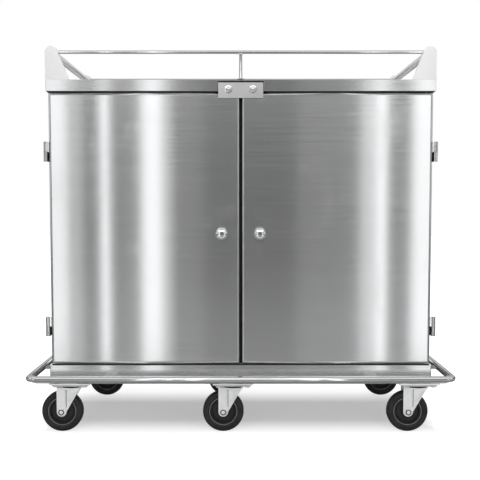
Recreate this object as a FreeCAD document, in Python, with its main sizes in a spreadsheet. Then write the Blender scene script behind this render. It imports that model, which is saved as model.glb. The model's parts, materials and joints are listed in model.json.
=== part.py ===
import FreeCAD, Part
import math
import os
import re
import Sketcher

# Enclosed meal tray cart: a two-door cabinet on six swivel casters, with a
# tubular bumper round its base and a low guard rail round its top.
# Front is -Y, up is +Z, and the origin lies on the floor under the middle.

SIZES = {
    # cabinet shell
    "body_width": 1165,
    "body_depth": 620,
    "cabinet_top": 1078,
    "cap_overhang": 3,
    "cap_height": 34,
    "cap_return": 30,
    "sheet_wall": 2,
    "panel_flange": 25,
    "partition_width": 30,
    # base
    "frame_height": 57,
    "frame_wall": 3,
    "frame_flange": 40,
    "channel_width": 100,
    "pad_width": 124,
    "pad_length": 98,
    "pad_thickness": 5,
    # trays
    "ledge_leg": 38,
    "ledge_drop": 25,
    "ledge_wall": 1.5,
    "ledge_first": 70,
    "ledge_pitch": 127,
    "ledge_setback": 12,
    # doors
    "door_thickness": 25,
    "door_recess": 4,
    "door_edge_radius": 3,
    "door_gap": 5,
    "door_side_inset": 5,
    "door_meeting_gap": 6.4,
    "door_stop_gap": 1,
    "liner_wall": 1.5,
    "liner_depth": 15,
    # knobs
    "knob_offset": 58,
    "knob_height": 617,
    "knob_radius": 18,
    "knob_reach": 33,
    "knob_neck_radius": 8,
    "knob_rose_radius": 12,
    "knob_rose_rim": 2.5,
    "knob_rose_height": 5,
    "knob_boss_depth": 6,
    # hinges
    "hinge_upper_height": 864,
    "hinge_lower_height": 333,
    "hinge_length": 60,
    "hinge_barrel_radius": 6.25,
    "hinge_axis_out": 6.5,
    "hinge_axis_back": 5,
    "hinge_leaf": 2.5,
    "hinge_leaf_reach": 39,
    "hinge_pin_radius": 2.5,
    "running_gap": 0.3,
    "bore_clearance": 0.08,
    # latch
    "latch_width": 135,
    "latch_drop": 46,
    "latch_plate": 3,
    "latch_top_gap": 8.6,
    "latch_bolt_spacing": 73,
    "latch_bolt_drop": 20.4,
    "latch_rod_radius": 2,
    "latch_knuckle_radius": 3.6,
    "latch_knuckle_sink": 0.6,
    "latch_knuckle_inset": 3,
    "latch_hole_gap": 0.2,
    "latch_lug_wall": 4,
    "latch_lug_gap": 0.5,
    "latch_lug_depth": 20,
    "latch_lug_below": 8,
    "latch_notch_clearance": 1.5,
    "latch_notch_top": 4.5,
    "dome_radius": 9,
    "dome_washer": 1.5,
    "dome_skirt": 4.5,
    "dome_nut_height": 4,
    # magnetic catches
    "catch_width": 12,
    "catch_length": 44,
    "catch_depth": 14,
    "catch_drop": 60,
    # bumper
    "bumper_radius": 11,
    "bumper_wall": 1.5,
    "bumper_offset": 52,
    "bumper_side_offset": 58,
    "bumper_height": 180,
    "bumper_bend": 28,
    "bracket_width": 38,
    "bracket_thickness": 5,
    "bracket_spread": 400,
    # top guard
    "ear_plate": 3,
    "ear_width": 71,
    "ear_top_width": 32,
    "ear_height": 99,
    "ear_corner": 18,
    "ear_setback": 2,
    "ear_foot": 30,
    "ear_lip": 12,
    "ear_lip_wall": 2.6,
    "rail_radius": 11,
    "rail_wall": 1.5,
    "rail_height": 82,
    "rod_radius": 5,
    "post_foot_radius": 14,
    "post_foot_height": 3,
    # casters
    "caster_left_inset": 57.5,
    "caster_middle_aside": 24,
    "caster_right_inset": 33.5,
    "caster_row_inset": 50,
    "caster_height": 152,
    "caster_trail": 30,
    "wheel_radius": 63.5,
    "tyre_width": 32,
    "tyre_shoulder": 7,
    "core_radius": 44,
    "core_width": 27,
    "core_recess": 8,
    "boss_radius": 15,
    "boss_width": 39,
    "axle_radius": 6,
    "hex_radius": 10.5,
    "hex_height": 7,
    "fork_gap": 40,
    "fork_wall": 3.5,
    "fork_bend": 8,
    "fork_eye": 15,
    "fork_front": 33,
    "fork_top": 143,
    "rib_radius": 2.2,
    "rib_length": 46,
    "rib_rise": 24,
    "dimple_radius": 3.4,
    "dimple_height": 1.2,
    "dimple_rise": 66,
    "race_radius": 30,
    "race_height": 3,
    "kingpin_radius": 8,
    "kingpin_head": 13,
    "kingpin_head_height": 5,
    "plate_length": 112,
    "plate_depth": 98,
    "plate_thickness": 4,
    "plate_corner": 12,
    "bolt_spacing_long": 88,
    "bolt_spacing_short": 76,
    "bolt_radius": 4,
    "bolt_head": 7.5,
    "bolt_head_height": 4.2,
}

LEDGE_ROWS = 6
DRAIN_HOLES = 3
DRAIN_RADIUS = 3

doc = FreeCAD.newDocument("meal_tray_cart")
sheet = doc.addObject("Spreadsheet::Sheet", "Sizes")
for row, (alias, value) in enumerate(SIZES.items(), start=1):
    sheet.set(f"A{row}", alias)
    sheet.set(f"B{row}", str(value))
    sheet.setAlias(f"B{row}", alias)
doc.recompute()

# Places worked out from the sizes
HALF_WIDTH = "(body_width / 2)"
FRONT = "(-body_depth / 2)"
BACK = "(body_depth / 2)"
BASE_BOTTOM = "(caster_height + pad_thickness)"
BASE_TOP = f"({BASE_BOTTOM} + frame_height)"
CAP_BOTTOM = "(cabinet_top - cap_height)"
DOOR_FACE = f"({FRONT} + door_recess)"
DOOR_BACK = f"({DOOR_FACE} + door_thickness)"
SHELL_FRONT = f"({DOOR_BACK} + door_stop_gap)"
DOOR_BOTTOM = f"({BASE_TOP} + door_gap)"
DOOR_TOP = f"({CAP_BOTTOM} - door_gap)"
DOOR_OUTER = f"({HALF_WIDTH} - door_side_inset)"
DOOR_INNER = "(door_meeting_gap / 2)"
HINGE_X = f"({HALF_WIDTH} + hinge_axis_out)"
HINGE_Y = f"({DOOR_FACE} + hinge_axis_back)"
LATCH_TOP = "(cabinet_top - latch_top_gap)"
LATCH_AXIS_Y = f"({FRONT} + latch_plate + latch_knuckle_radius - latch_knuckle_sink)"
LATCH_AXIS_Z = f"({LATCH_TOP} - latch_knuckle_radius)"
NOTCH_HALF = "(latch_width / 2 + latch_notch_clearance)"
NOTCH_BOTTOM = f"({LATCH_TOP} - latch_drop - latch_notch_clearance)"
EAR_FRONT = "(body_depth / 2 - ear_setback)"
RAIL_X = f"({HALF_WIDTH} + cap_overhang - ear_corner)"
RAIL_Z = "(cabinet_top + rail_height)"
ROD_Y = f"({EAR_FRONT} - ear_plate - rod_radius)"
BUMPER_X = f"({HALF_WIDTH} + bumper_side_offset)"
BUMPER_Y = "(body_depth / 2 + bumper_offset)"
PLATE_BOTTOM = "(caster_height - plate_thickness)"

CASTER_LEFT = f"(caster_left_inset - {HALF_WIDTH})"
CASTER_MIDDLE = "(-caster_middle_aside)"
CASTER_RIGHT = f"({HALF_WIDTH} - caster_right_inset)"
FRONT_ROW = f"({FRONT} + caster_row_inset)"
REAR_ROW = f"({BACK} - caster_row_inset)"

# Where each caster's kingpin stands, and the side its wheel trails to at rest
CASTERS = {
    "front_left": (CASTER_LEFT, FRONT_ROW, -1),
    "front_middle": (CASTER_MIDDLE, FRONT_ROW, -1),
    "front_right": (CASTER_RIGHT, FRONT_ROW, -1),
    "rear_left": (CASTER_LEFT, REAR_ROW, 1),
    "rear_middle": (CASTER_MIDDLE, REAR_ROW, -1),
    "rear_right": (CASTER_RIGHT, REAR_ROW, -1),
}

ALONG_X = FreeCAD.Rotation(FreeCAD.Vector(0, 1, 0), 90)
ALONG_Y = FreeCAD.Rotation(FreeCAD.Vector(1, 0, 0), -90)
ALONG_Z = FreeCAD.Rotation()


def bind(text):
    """Turn a formula on plain size names into one on the sheet's cells."""
    def swap(match):
        word = match.group(0)
        return f"Sizes.{word}" if word in SIZES else word
    return re.sub(r"[a-z_]+", swap, str(text))


def number(text):
    """The present value of a formula."""
    return float(sheet.evalExpression(bind(text)))


def set_sizes(item, **formulas):
    for name, formula in formulas.items():
        item.setExpression(name, bind(formula))


def put(item, at, turn=ALONG_Z):
    """Place an item by three formulas and a fixed turn."""
    item.Placement = FreeCAD.Placement(FreeCAD.Vector(), turn)
    for axis, formula in zip("xyz", at):
        item.setExpression(f"Placement.Base.{axis}", bind(formula))
    return item


def box(size, at):
    item = doc.addObject("Part::Box", "Block")
    set_sizes(item, Length=size[0], Width=size[1], Height=size[2])
    return put(item, at)


def cylinder(radius, length, at, turn=ALONG_Z):
    item = doc.addObject("Part::Cylinder", "Round")
    set_sizes(item, Radius=radius, Height=length)
    return put(item, at, turn)


def hexagon(radius, length, at, turn=ALONG_Z):
    item = doc.addObject("Part::Prism", "Hexagon")
    item.Polygon = 6
    set_sizes(item, Circumradius=radius, Height=length)
    return put(item, at, turn)


def fuse(items):
    item = doc.addObject("Part::MultiFuse", "Joined")
    item.Shapes = items
    return item


def cut(base, tools):
    item = doc.addObject("Part::Cut", "Cut")
    item.Base = base
    item.Tool = tools[0] if len(tools) == 1 else fuse(tools)
    return item


def group(items):
    item = doc.addObject("Part::Compound", "Set")
    item.Links = items
    return item


SUB_PARTS = []


def sub_part(node, item):
    """Name a finished piece. The name is also its file's name."""
    item.Label = node
    SUB_PARTS.append(item)
    return item


def origin_plane(body, role):
    for feature in body.Origin.OriginFeatures:
        if feature.Role == role:
            return feature
    raise ValueError(role)


def outline(body, role, offset, points):
    """A closed sketch of straight lines whose corners are formulas."""
    sketch = body.newObject("Sketcher::SketchObject", "Outline")
    sketch.AttachmentSupport = [(origin_plane(body, role), "")]
    sketch.MapMode = "FlatFace"
    sketch.setExpression("AttachmentOffset.Base.z", bind(offset))
    corners = [FreeCAD.Vector(number(u), number(v), 0) for u, v in points]
    count = len(points)
    for index in range(count):
        start, end = corners[index], corners[(index + 1) % count]
        sketch.addGeometry(Part.LineSegment(start, end), False)
    for index in range(count):
        link = Sketcher.Constraint("Coincident", index, 2, (index + 1) % count, 1)
        sketch.addConstraint(link)
    for index, (u, v) in enumerate(points):
        for kind, formula, value in (("DistanceX", u, corners[index].x),
                                     ("DistanceY", v, corners[index].y)):
            rule = Sketcher.Constraint(kind, -1, 1, index, 1, value)
            place = sketch.addConstraint(rule)
            sketch.setExpression(f"Constraints[{place}]", bind(formula))
    return sketch


def pad(body, sketch, length, midplane=False):
    item = body.newObject("PartDesign::Pad", "Pad")
    item.Profile = sketch
    item.Midplane = midplane
    set_sizes(item, Length=length)
    return item


def pocket_forward(body, sketch, length):
    """Cut from the sketch along its own normal."""
    item = body.newObject("PartDesign::Pocket", "Pocket")
    item.Profile = sketch
    item.Reversed = True
    set_sizes(item, Length=length)
    return item


def revolve(body, sketch):
    item = body.newObject("PartDesign::Revolution", "Turned")
    item.Profile = sketch
    item.ReferenceAxis = (sketch, ["V_Axis"])
    item.Angle = 360
    return item


def edges_where(shape, wanted):
    names = []
    for index, edge in enumerate(shape.Edges, start=1):
        if wanted(edge):
            names.append(f"Edge{index}")
    return names


def round_edges(body, base, radius, wanted):
    doc.recompute()
    item = body.newObject("PartDesign::Fillet", "Rounding")
    item.Base = (base, edges_where(base.Shape, wanted))
    set_sizes(item, Radius=radius)
    return item


def new_body(name):
    return doc.addObject("PartDesign::Body", name)


def sided(side, near, far):
    """Left end and length, along X, of a span mirrored to the given side."""
    length = f"(({far}) - ({near}))"
    start = f"({near})" if side > 0 else f"(-({far}))"
    return start, length


# Base

def make_base():
    ring = box(("body_width", "body_depth", "frame_height"),
               (f"-{HALF_WIDTH}", FRONT, BASE_BOTTOM))
    hollow = box(("body_width - 2 * frame_wall", "body_depth - 2 * frame_wall",
                  "frame_height - 2 * frame_wall"),
                 (f"frame_wall - {HALF_WIDTH}", f"{FRONT} + frame_wall",
                  f"{BASE_BOTTOM} + frame_wall"))
    middle = box(("body_width - 2 * frame_flange", "body_depth - 2 * frame_flange",
                  "frame_height * 2"),
                 (f"frame_flange - {HALF_WIDTH}", f"{FRONT} + frame_flange",
                  f"{BASE_BOTTOM} - frame_height / 2"))
    sub_part("base_frame", cut(ring, [hollow, middle]))

    reach = f"({HALF_WIDTH} - frame_wall - channel_width / 2)"
    middles = (f"max({CASTER_LEFT}; -{reach})", CASTER_MIDDLE, f"min({CASTER_RIGHT}; {reach})")
    channels = []
    for place in middles:
        start = f"{place} - channel_width / 2"
        outer = box(("channel_width", "body_depth - 2 * frame_wall",
                     "frame_height - 2 * frame_wall"),
                    (start, f"{FRONT} + frame_wall", f"{BASE_BOTTOM} + frame_wall"))
        trough = box(("channel_width - 2 * frame_wall", "body_depth", "frame_height"),
                     (f"{start} + frame_wall", FRONT, f"{BASE_BOTTOM} + 2 * frame_wall"))
        channels.append(cut(outer, [trough]))
    sub_part("cross_channels", group(channels))

    pads = []
    for x, y, _ in CASTERS.values():
        pads.append(box(("pad_width", "pad_length", "pad_thickness"),
                        (f"{x} - pad_width / 2", f"{y} - pad_length / 2", "caster_height")))
    sub_part("caster_pads", group(pads))


def make_floor_pan():
    width = "body_width - 2 * sheet_wall"
    depth = f"{BACK} - 3 * sheet_wall - {SHELL_FRONT}"
    sub_part("floor_pan", box((width, depth, "sheet_wall"),
                              (f"sheet_wall - {HALF_WIDTH}", SHELL_FRONT, BASE_TOP)))


# Cabinet shell

def make_side_panel(node, side):
    height = f"cabinet_top - sheet_wall - {BASE_TOP}"
    rear = f"({BACK} - sheet_wall)"
    depth = f"{rear} - {SHELL_FRONT}"
    wall_x, wall = sided(side, f"{HALF_WIDTH} - sheet_wall", HALF_WIDTH)
    flange_x, flange = sided(side, f"{HALF_WIDTH} - panel_flange", HALF_WIDTH)
    panel = box((wall, depth, height), (wall_x, SHELL_FRONT, BASE_TOP))
    front_flange = box((flange, "sheet_wall", f"{height} - cap_height"),
                       (flange_x, SHELL_FRONT, f"{BASE_TOP} + sheet_wall"))
    rear_flange = box((flange, "sheet_wall", height),
                      (flange_x, f"{rear} - sheet_wall", BASE_TOP))
    top_flange = box((flange, depth, "sheet_wall"),
                     (flange_x, SHELL_FRONT, "cabinet_top - 2 * sheet_wall"))
    sub_part(node, fuse([panel, front_flange, rear_flange, top_flange]))


def make_back_panel():
    width = "body_width - 2 * sheet_wall"
    height = f"cabinet_top - 2 * sheet_wall - {BASE_TOP}"
    panel = box((width, "sheet_wall", height),
                (f"sheet_wall - {HALF_WIDTH}", f"{BACK} - 3 * sheet_wall", BASE_TOP))
    corners = [box(("sheet_wall * 2", "sheet_wall * 2", "sheet_wall * 4"),
                   (x, f"{BACK} - 4 * sheet_wall", "cabinet_top - 4 * sheet_wall"))
               for x in (f"sheet_wall - {HALF_WIDTH}", f"{HALF_WIDTH} - 3 * sheet_wall")]
    sub_part("back_panel", cut(panel, corners))


def make_top_panel():
    width = "(body_width + 2 * cap_overhang)"
    left = f"(-{width} / 2)"
    lid = box((width, "body_depth", "cap_height"), (left, FRONT, CAP_BOTTOM))
    under = box((f"{width} - 2 * sheet_wall", "body_depth - 2 * sheet_wall", "cap_height"),
                (f"{left} + sheet_wall", f"{FRONT} + sheet_wall", f"{CAP_BOTTOM} - sheet_wall"))
    hem = box((f"{width} - 2 * sheet_wall", "cap_return", "sheet_wall"),
              (f"{left} + sheet_wall", f"{FRONT} + sheet_wall", CAP_BOTTOM))
    hem_ends = []
    for side in (-1, 1):
        x, length = sided(side, f"{HALF_WIDTH} - panel_flange - door_stop_gap",
                          f"{HALF_WIDTH} + cap_overhang")
        hem_ends.append(box((length, "cap_return", "sheet_wall * 3"),
                            (x, f"{SHELL_FRONT} - door_stop_gap / 2",
                             f"{CAP_BOTTOM} - sheet_wall")))
    notch = box((f"2 * {NOTCH_HALF}", "cap_return + 2 * sheet_wall",
                 "cap_height - latch_notch_top + sheet_wall"),
                (f"-{NOTCH_HALF}", f"{FRONT} - sheet_wall", f"{CAP_BOTTOM} - sheet_wall"))
    folded = fuse([cut(lid, [under]), cut(hem, hem_ends)])
    sub_part("top_panel", cut(folded, [notch]))


def make_partition():
    height = f"(cabinet_top - {BASE_TOP} - 2 * sheet_wall)"
    depth = f"({BACK} - 3 * sheet_wall - {SHELL_FRONT})"
    low = f"({BASE_TOP} + sheet_wall)"
    outer = box(("partition_width", depth, height), ("-partition_width / 2", SHELL_FRONT, low))
    inner = box(("partition_width - 2 * sheet_wall", f"{depth} - 2 * sheet_wall",
                 f"{height} * 2"),
                ("sheet_wall - partition_width / 2", f"{SHELL_FRONT} + sheet_wall",
                 f"{low} - {height} / 2"))
    sub_part("centre_partition", cut(outer, [inner]))


def make_ledges(node, side):
    """Angle ledges in pairs, one each side of a bay, for trays to slide on."""
    depth = f"{BACK} - 3 * sheet_wall - {SHELL_FRONT} - 2 * ledge_setback"
    front = f"{SHELL_FRONT} + ledge_setback"
    walls = ((f"{HALF_WIDTH} - sheet_wall", -1), ("partition_width / 2", 1))
    angles = []
    for row in range(LEDGE_ROWS):
        shelf = f"{BASE_TOP} + ledge_first + {row} * ledge_pitch"
        for wall, inward in walls:
            tip = f"{wall} + {inward} * ledge_leg"
            leaf = f"{wall} + {inward} * ledge_wall"
            near, far = (tip, wall) if inward < 0 else (wall, tip)
            near_leaf, far_leaf = (leaf, wall) if inward < 0 else (wall, leaf)
            flat_x, flat = sided(side, near, far)
            leaf_x, thick = sided(side, near_leaf, far_leaf)
            flat_leg = box((flat, depth, "ledge_wall"), (flat_x, front, shelf))
            fixed_leg = box((thick, depth, "ledge_drop"),
                            (leaf_x, front, f"{shelf} + ledge_wall - ledge_drop"))
            angles.append(fuse([flat_leg, fixed_leg]))
    sub_part(node, group(angles))


def make_catches():
    """Magnet blocks on both sides of the partition, behind the doors."""
    top = f"{DOOR_TOP} - catch_drop"
    front = f"{DOOR_BACK} + running_gap"
    blocks = []
    for side in (-1, 1):
        x, width = sided(side, "partition_width / 2", "partition_width / 2 + catch_width")
        blocks.append(box((width, "catch_depth", "catch_length"),
                          (x, front, f"{top} - catch_length")))
    sub_part("magnetic_catches", group(blocks))


# Doors

def door_outline(side, inset):
    """Corners of a door seen from the front, with the latch's notch."""
    inner = f"({DOOR_INNER} + {inset})"
    outer = f"({DOOR_OUTER} - {inset})"
    notch = f"({NOTCH_HALF} + {inset})"
    low = f"({DOOR_BOTTOM} + {inset})"
    top = f"({DOOR_TOP} - {inset})"
    step = f"({NOTCH_BOTTOM} - {inset})"
    corners = [(inner, low), (outer, low), (outer, top), (notch, top), (notch, step),
               (inner, step)]
    return [(f"{side} * {x}", z) for x, z in corners]


def make_door_skin(node, side):
    body = new_body("DoorPan")
    back = f"-{DOOR_BACK}"
    slab = pad(body, outline(body, "XZ_Plane", back, door_outline(side, "0")),
               "door_thickness")
    face = number(DOOR_FACE)

    def on_face(edge):
        return all(abs(vertex.Point.y - face) < 0.01 for vertex in edge.Vertexes)

    round_edges(body, slab, "door_edge_radius", on_face)
    hollow = outline(body, "XZ_Plane", back, door_outline(side, "sheet_wall"))
    pocket_forward(body, hollow, "door_thickness - sheet_wall")
    screw_way = cylinder("knob_neck_radius / 2", "sheet_wall * 4",
                         (f"{side} * knob_offset", f"{DOOR_FACE} - sheet_wall", "knob_height"),
                         ALONG_Y)
    return sub_part(node, cut(body, [screw_way]))


def make_door_liner(node, side):
    body = new_body("DoorTray")
    back = f"-{DOOR_BACK}"
    pad(body, outline(body, "XZ_Plane", back, door_outline(side, "sheet_wall")), "liner_depth")
    inner = outline(body, "XZ_Plane", f"{back} + liner_wall",
                    door_outline(side, "(sheet_wall + liner_wall)"))
    pocket_forward(body, inner, "liner_depth")
    return sub_part(node, body)


def make_knob(node, side):
    """Round pull knob on a neck and rose, with its screw inside the door."""
    body = new_body("Knob")
    profile = [("0", "sheet_wall + knob_boss_depth"),
               ("knob_neck_radius", "sheet_wall + knob_boss_depth"),
               ("knob_neck_radius", "sheet_wall"),
               ("knob_neck_radius / 2", "sheet_wall"),
               ("knob_neck_radius / 2", "0"),
               ("knob_rose_radius", "0"),
               ("knob_rose_radius", "-knob_rose_rim"),
               ("knob_neck_radius", "-knob_rose_height"),
               ("knob_neck_radius", "-knob_reach / 2"),
               ("knob_radius * 0.9", "-knob_reach * 0.6"),
               ("knob_radius", "-knob_reach * 0.68"),
               ("knob_radius", "-knob_reach * 0.84"),
               ("knob_radius * 0.82", "-knob_reach"),
               ("0", "-knob_reach")]
    turned = revolve(body, outline(body, "XY_Plane", "0", profile))
    reach = number("knob_reach")
    rim = number("knob_radius * 0.7")

    def on_head(edge):
        far = all(vertex.Point.y < -0.8 * reach for vertex in edge.Vertexes)
        return far and edge.BoundBox.XMax > rim and edge.BoundBox.YLength < 0.01

    round_edges(body, turned, "knob_radius * 0.14", on_head)
    put(body, (f"{side} * knob_offset", DOOR_FACE, "knob_height"))
    return sub_part(node, body)


def knuckle(side, low, bore):
    tube = cylinder("hinge_barrel_radius", "hinge_length / 2 - running_gap",
                    (f"{side} * {HINGE_X}", HINGE_Y, low))
    hole = cylinder(bore, "hinge_length * 2",
                    (f"{side} * {HINGE_X}", HINGE_Y, f"{low} - hinge_length / 2"))
    return tube, hole


def make_door_hinges(node, side):
    """Upper half of each hinge: a leaf on the door's edge and a knuckle."""
    leaves = []
    for middle in ("hinge_upper_height", "hinge_lower_height"):
        low = f"({middle} + running_gap)"
        height = "hinge_length / 2 - running_gap"
        tube, hole = knuckle(side, low, "hinge_pin_radius + bore_clearance")
        leaf_x, thick = sided(side, DOOR_OUTER, f"{DOOR_OUTER} + hinge_leaf")
        web_x, web = sided(side, DOOR_OUTER, f"{HINGE_X} - hinge_pin_radius - 1")
        leaf = box((thick, "door_thickness - 2 * door_edge_radius", height),
                   (leaf_x, f"{DOOR_FACE} + door_edge_radius", low))
        bridge = box((web, "hinge_leaf", height), (web_x, f"{HINGE_Y} - hinge_leaf / 2", low))
        leaves.append(cut(fuse([leaf, bridge, tube]), [hole]))
    return sub_part(node, group(leaves))


def make_frame_hinges():
    """Lower half of each hinge, on the cabinet's side, and the four pins."""
    leaves = []
    pins = []
    for side in (-1, 1):
        for middle in ("hinge_upper_height", "hinge_lower_height"):
            low = f"({middle} - hinge_length / 2 + running_gap)"
            height = "hinge_length / 2 - running_gap"
            tube, hole = knuckle(side, low, "hinge_pin_radius")
            leaf_x, thick = sided(side, HALF_WIDTH, f"{HALF_WIDTH} + hinge_leaf")
            leaf = box((thick, "hinge_leaf_reach", height), (leaf_x, HINGE_Y, low))
            leaves.append(cut(fuse([leaf, tube]), [hole]))
            pins.append(cylinder("hinge_pin_radius", "hinge_length - 1",
                                 (f"{side} * {HINGE_X}", HINGE_Y, f"{low} + 0.5")))
    sub_part("hinge_frame_leaves", group(leaves))
    sub_part("hinge_pins", group(pins))


# Latch

def make_latch():
    body = new_body("LatchPlate")
    half = "latch_width / 2"
    low = f"({LATCH_TOP} - latch_drop)"
    face = outline(body, "XZ_Plane", f"-({FRONT} + latch_plate)",
                   [(f"-{half}", low), (half, low), (half, LATCH_TOP), (f"-{half}", LATCH_TOP)])
    pad(body, face, "latch_plate")
    span = "(latch_width - 2 * latch_knuckle_inset)"
    barrel = cylinder("latch_knuckle_radius", span,
                      (f"-{span} / 2", LATCH_AXIS_Y, LATCH_AXIS_Z), ALONG_X)
    bore = cylinder("latch_rod_radius + bore_clearance", "latch_width * 2",
                    ("-latch_width", LATCH_AXIS_Y, LATCH_AXIS_Z), ALONG_X)
    holes = []
    bolts = []
    bolt = "(bolt_radius * 0.75)"
    for side in (-1, 1):
        x = f"{side} * latch_bolt_spacing / 2"
        z = f"({LATCH_TOP} - latch_bolt_drop)"
        holes.append(cylinder(f"{bolt} + latch_hole_gap", "latch_plate * 4",
                              (x, f"{FRONT} - latch_plate", z), ALONG_Y))
        washer = cylinder("dome_radius * 1.3", "dome_washer",
                          (x, f"{FRONT} - dome_washer", z), ALONG_Y)
        skirt = hexagon("dome_radius * 1.12", "dome_skirt",
                        (x, f"{FRONT} - dome_washer - dome_skirt", z), ALONG_Y)
        dome = doc.addObject("Part::Sphere", "Dome")
        set_sizes(dome, Radius="dome_radius * 0.92")
        put(dome, (x, f"{FRONT} - dome_washer - dome_skirt * 0.8", z))
        shank = cylinder(bolt, "latch_plate + dome_washer + dome_nut_height",
                         (x, f"{FRONT} - dome_washer", z), ALONG_Y)
        nut = hexagon("bolt_head * 0.9", "dome_nut_height",
                      (x, f"{FRONT} + latch_plate", z), ALONG_Y)
        behind = box(("dome_radius * 4", "dome_radius * 4", "dome_radius * 4"),
                     (f"{x} - dome_radius * 2", f"{FRONT} - dome_washer",
                      f"{z} - dome_radius * 2"))
        bolts.append(fuse([washer, skirt, cut(dome, [behind]), shank, nut]))
    sub_part("latch_flap", cut(fuse([body, barrel]), [bore] + holes))
    sub_part("latch_cap_nuts", group(bolts))

    lugs = []
    lug_top = "(cabinet_top - sheet_wall)"
    lug_near = "(latch_width / 2 + latch_lug_gap)"
    lug_far = f"({lug_near} + latch_lug_wall)"
    for side in (-1, 1):
        x, wide = sided(side, lug_near, lug_far)
        lugs.append(box((wide, "latch_lug_depth",
                         f"{lug_top} - {LATCH_AXIS_Z} + latch_lug_below"),
                        (x, f"{FRONT} + sheet_wall", f"{LATCH_AXIS_Z} - latch_lug_below")))
    plate = box((f"2 * {lug_far}", "sheet_wall", f"{lug_top} - {CAP_BOTTOM} - sheet_wall"),
                (f"-{lug_far}", f"{FRONT} + sheet_wall + latch_lug_depth",
                 f"{CAP_BOTTOM} + sheet_wall"))
    rod_half = f"({lug_near} + latch_lug_wall / 2)"
    rod = cylinder("latch_rod_radius", f"2 * {rod_half}",
                   (f"-{rod_half}", LATCH_AXIS_Y, LATCH_AXIS_Z), ALONG_X)
    sub_part("latch_hinge_bracket", fuse([plate, rod] + lugs))


# Bumper

def bumper_path():
    """Rounded rectangle at the bumper's height, as one closed wire."""
    bend, height = number("bumper_bend"), number("bumper_height")
    middle_x = number(f"{BUMPER_X} - bumper_bend")
    middle_y = number(f"{BUMPER_Y} - bumper_bend")
    bends = []
    for x, y, turn in ((1, 1, 0), (-1, 1, 90), (-1, -1, 180), (1, -1, 270)):
        points = []
        for step in (0, 45, 90):
            angle = math.radians(turn + step)
            points.append(FreeCAD.Vector(x * middle_x + bend * math.cos(angle),
                                         y * middle_y + bend * math.sin(angle), height))
        bends.append(Part.Arc(*points).toShape())
    edges = []
    for index, bend_edge in enumerate(bends):
        after = bends[(index + 1) % len(bends)]
        run = Part.LineSegment(bend_edge.Vertexes[-1].Point, after.Vertexes[0].Point)
        edges += [bend_edge, run.toShape()]
    return Part.Wire(edges)


def bumper_loop(radius):
    """A round bar swept along the bumper's path."""
    start = FreeCAD.Vector(0, number(BUMPER_Y), number("bumper_height"))
    circle = Part.Circle(start, FreeCAD.Vector(1, 0, 0), number(radius))
    item = doc.addObject("Part::Feature", "BumperBar")
    item.Shape = bumper_path().makePipeShell([Part.Wire([circle.toShape()])], True, False)
    return item


def make_bumper():
    drains = []
    for index in range(DRAIN_HOLES):
        x = f"(({index} / {DRAIN_HOLES - 1}) - 0.5) * bracket_spread"
        drains.append(cylinder(str(DRAIN_RADIUS), "bumper_radius",
                               (x, f"-{BUMPER_Y}", "bumper_height - bumper_radius - 1")))
    bore = bumper_loop("bumper_radius - bumper_wall")
    sub_part("bumper_rail", cut(bumper_loop("bumper_radius"), [bore] + drains))

    brackets = []
    sunk = "(bumper_radius - bumper_wall)"
    reach = f"(bumper_offset - {sunk})"
    side_reach = f"(bumper_side_offset - {sunk})"
    level = "bumper_height - bracket_thickness / 2"
    for side in (-1, 1):
        for step in (-1, 0, 1):
            y = f"{FRONT} - {reach}" if side < 0 else BACK
            brackets.append(box(("bracket_width", reach, "bracket_thickness"),
                                (f"{step} * bracket_spread - bracket_width / 2", y, level)))
        x, long = sided(side, HALF_WIDTH, f"{HALF_WIDTH} + {side_reach}")
        for step in (-1, 1):
            brackets.append(box((long, "bracket_width", "bracket_thickness"),
                                (x, f"{step} * body_depth / 4 - bracket_width / 2", level)))
    clear = bumper_loop("bumper_radius")
    sub_part("bumper_brackets", cut(group(brackets), [clear]))


# Top guard

def make_ears(node, end):
    """Corner plates in pairs, at the front (-1) or the back (1)."""
    ears = []
    corner = f"({HALF_WIDTH} + cap_overhang)"
    face = f"({end} * {EAR_FRONT})"
    for side in (-1, 1):
        body = new_body("Ear")
        foot_in = f"({corner} - ear_width)"
        top_in = f"({corner} - ear_top_width)"
        top = "(cabinet_top + ear_height)"
        shape = [(f"{side} * {corner}", "cabinet_top"), (f"{side} * {foot_in}", "cabinet_top"),
                 (f"{side} * {top_in}", top), (f"{side} * {corner}", top)]
        back = f"-{face}" if end > 0 else f"-({face} + ear_plate)"
        plate = pad(body, outline(body, "XZ_Plane", back, shape), "ear_plate")
        height = number(top)

        def at_top(edge):
            level = all(vertex.Point.z > height - 0.01 for vertex in edge.Vertexes)
            return level and edge.BoundBox.YLength > 1

        round_edges(body, plate, "ear_corner - 0.5", at_top)
        foot_x, wide = sided(side, foot_in, corner)
        foot_y = f"{face} - ear_foot" if end > 0 else face
        foot = box((wide, "ear_foot", "ear_plate"), (foot_x, foot_y, "cabinet_top"))
        lip_body = new_body("Lip")
        rise = "0.84"
        lean = f"({top_in} - {foot_in}) * {rise}"
        lip = [(f"{side} * {foot_in}", "cabinet_top"),
               (f"{side} * ({foot_in} + {lean})", f"cabinet_top + ear_height * {rise}"),
               (f"{side} * ({foot_in} + {lean} + ear_lip_wall)",
                f"cabinet_top + ear_height * {rise}"),
               (f"{side} * ({foot_in} + ear_lip_wall)", "cabinet_top")]
        lip_back = f"-{face}" if end > 0 else f"-({face} + ear_lip)"
        pad(lip_body, outline(lip_body, "XZ_Plane", lip_back, lip), "ear_lip")
        rod_way = cylinder("rod_radius", "ear_width", (foot_x, f"{end} * {ROD_Y}", RAIL_Z), ALONG_X)
        ears.append(cut(fuse([body, foot, lip_body]), [rod_way]))
    sub_part(node, group(ears))


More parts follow.
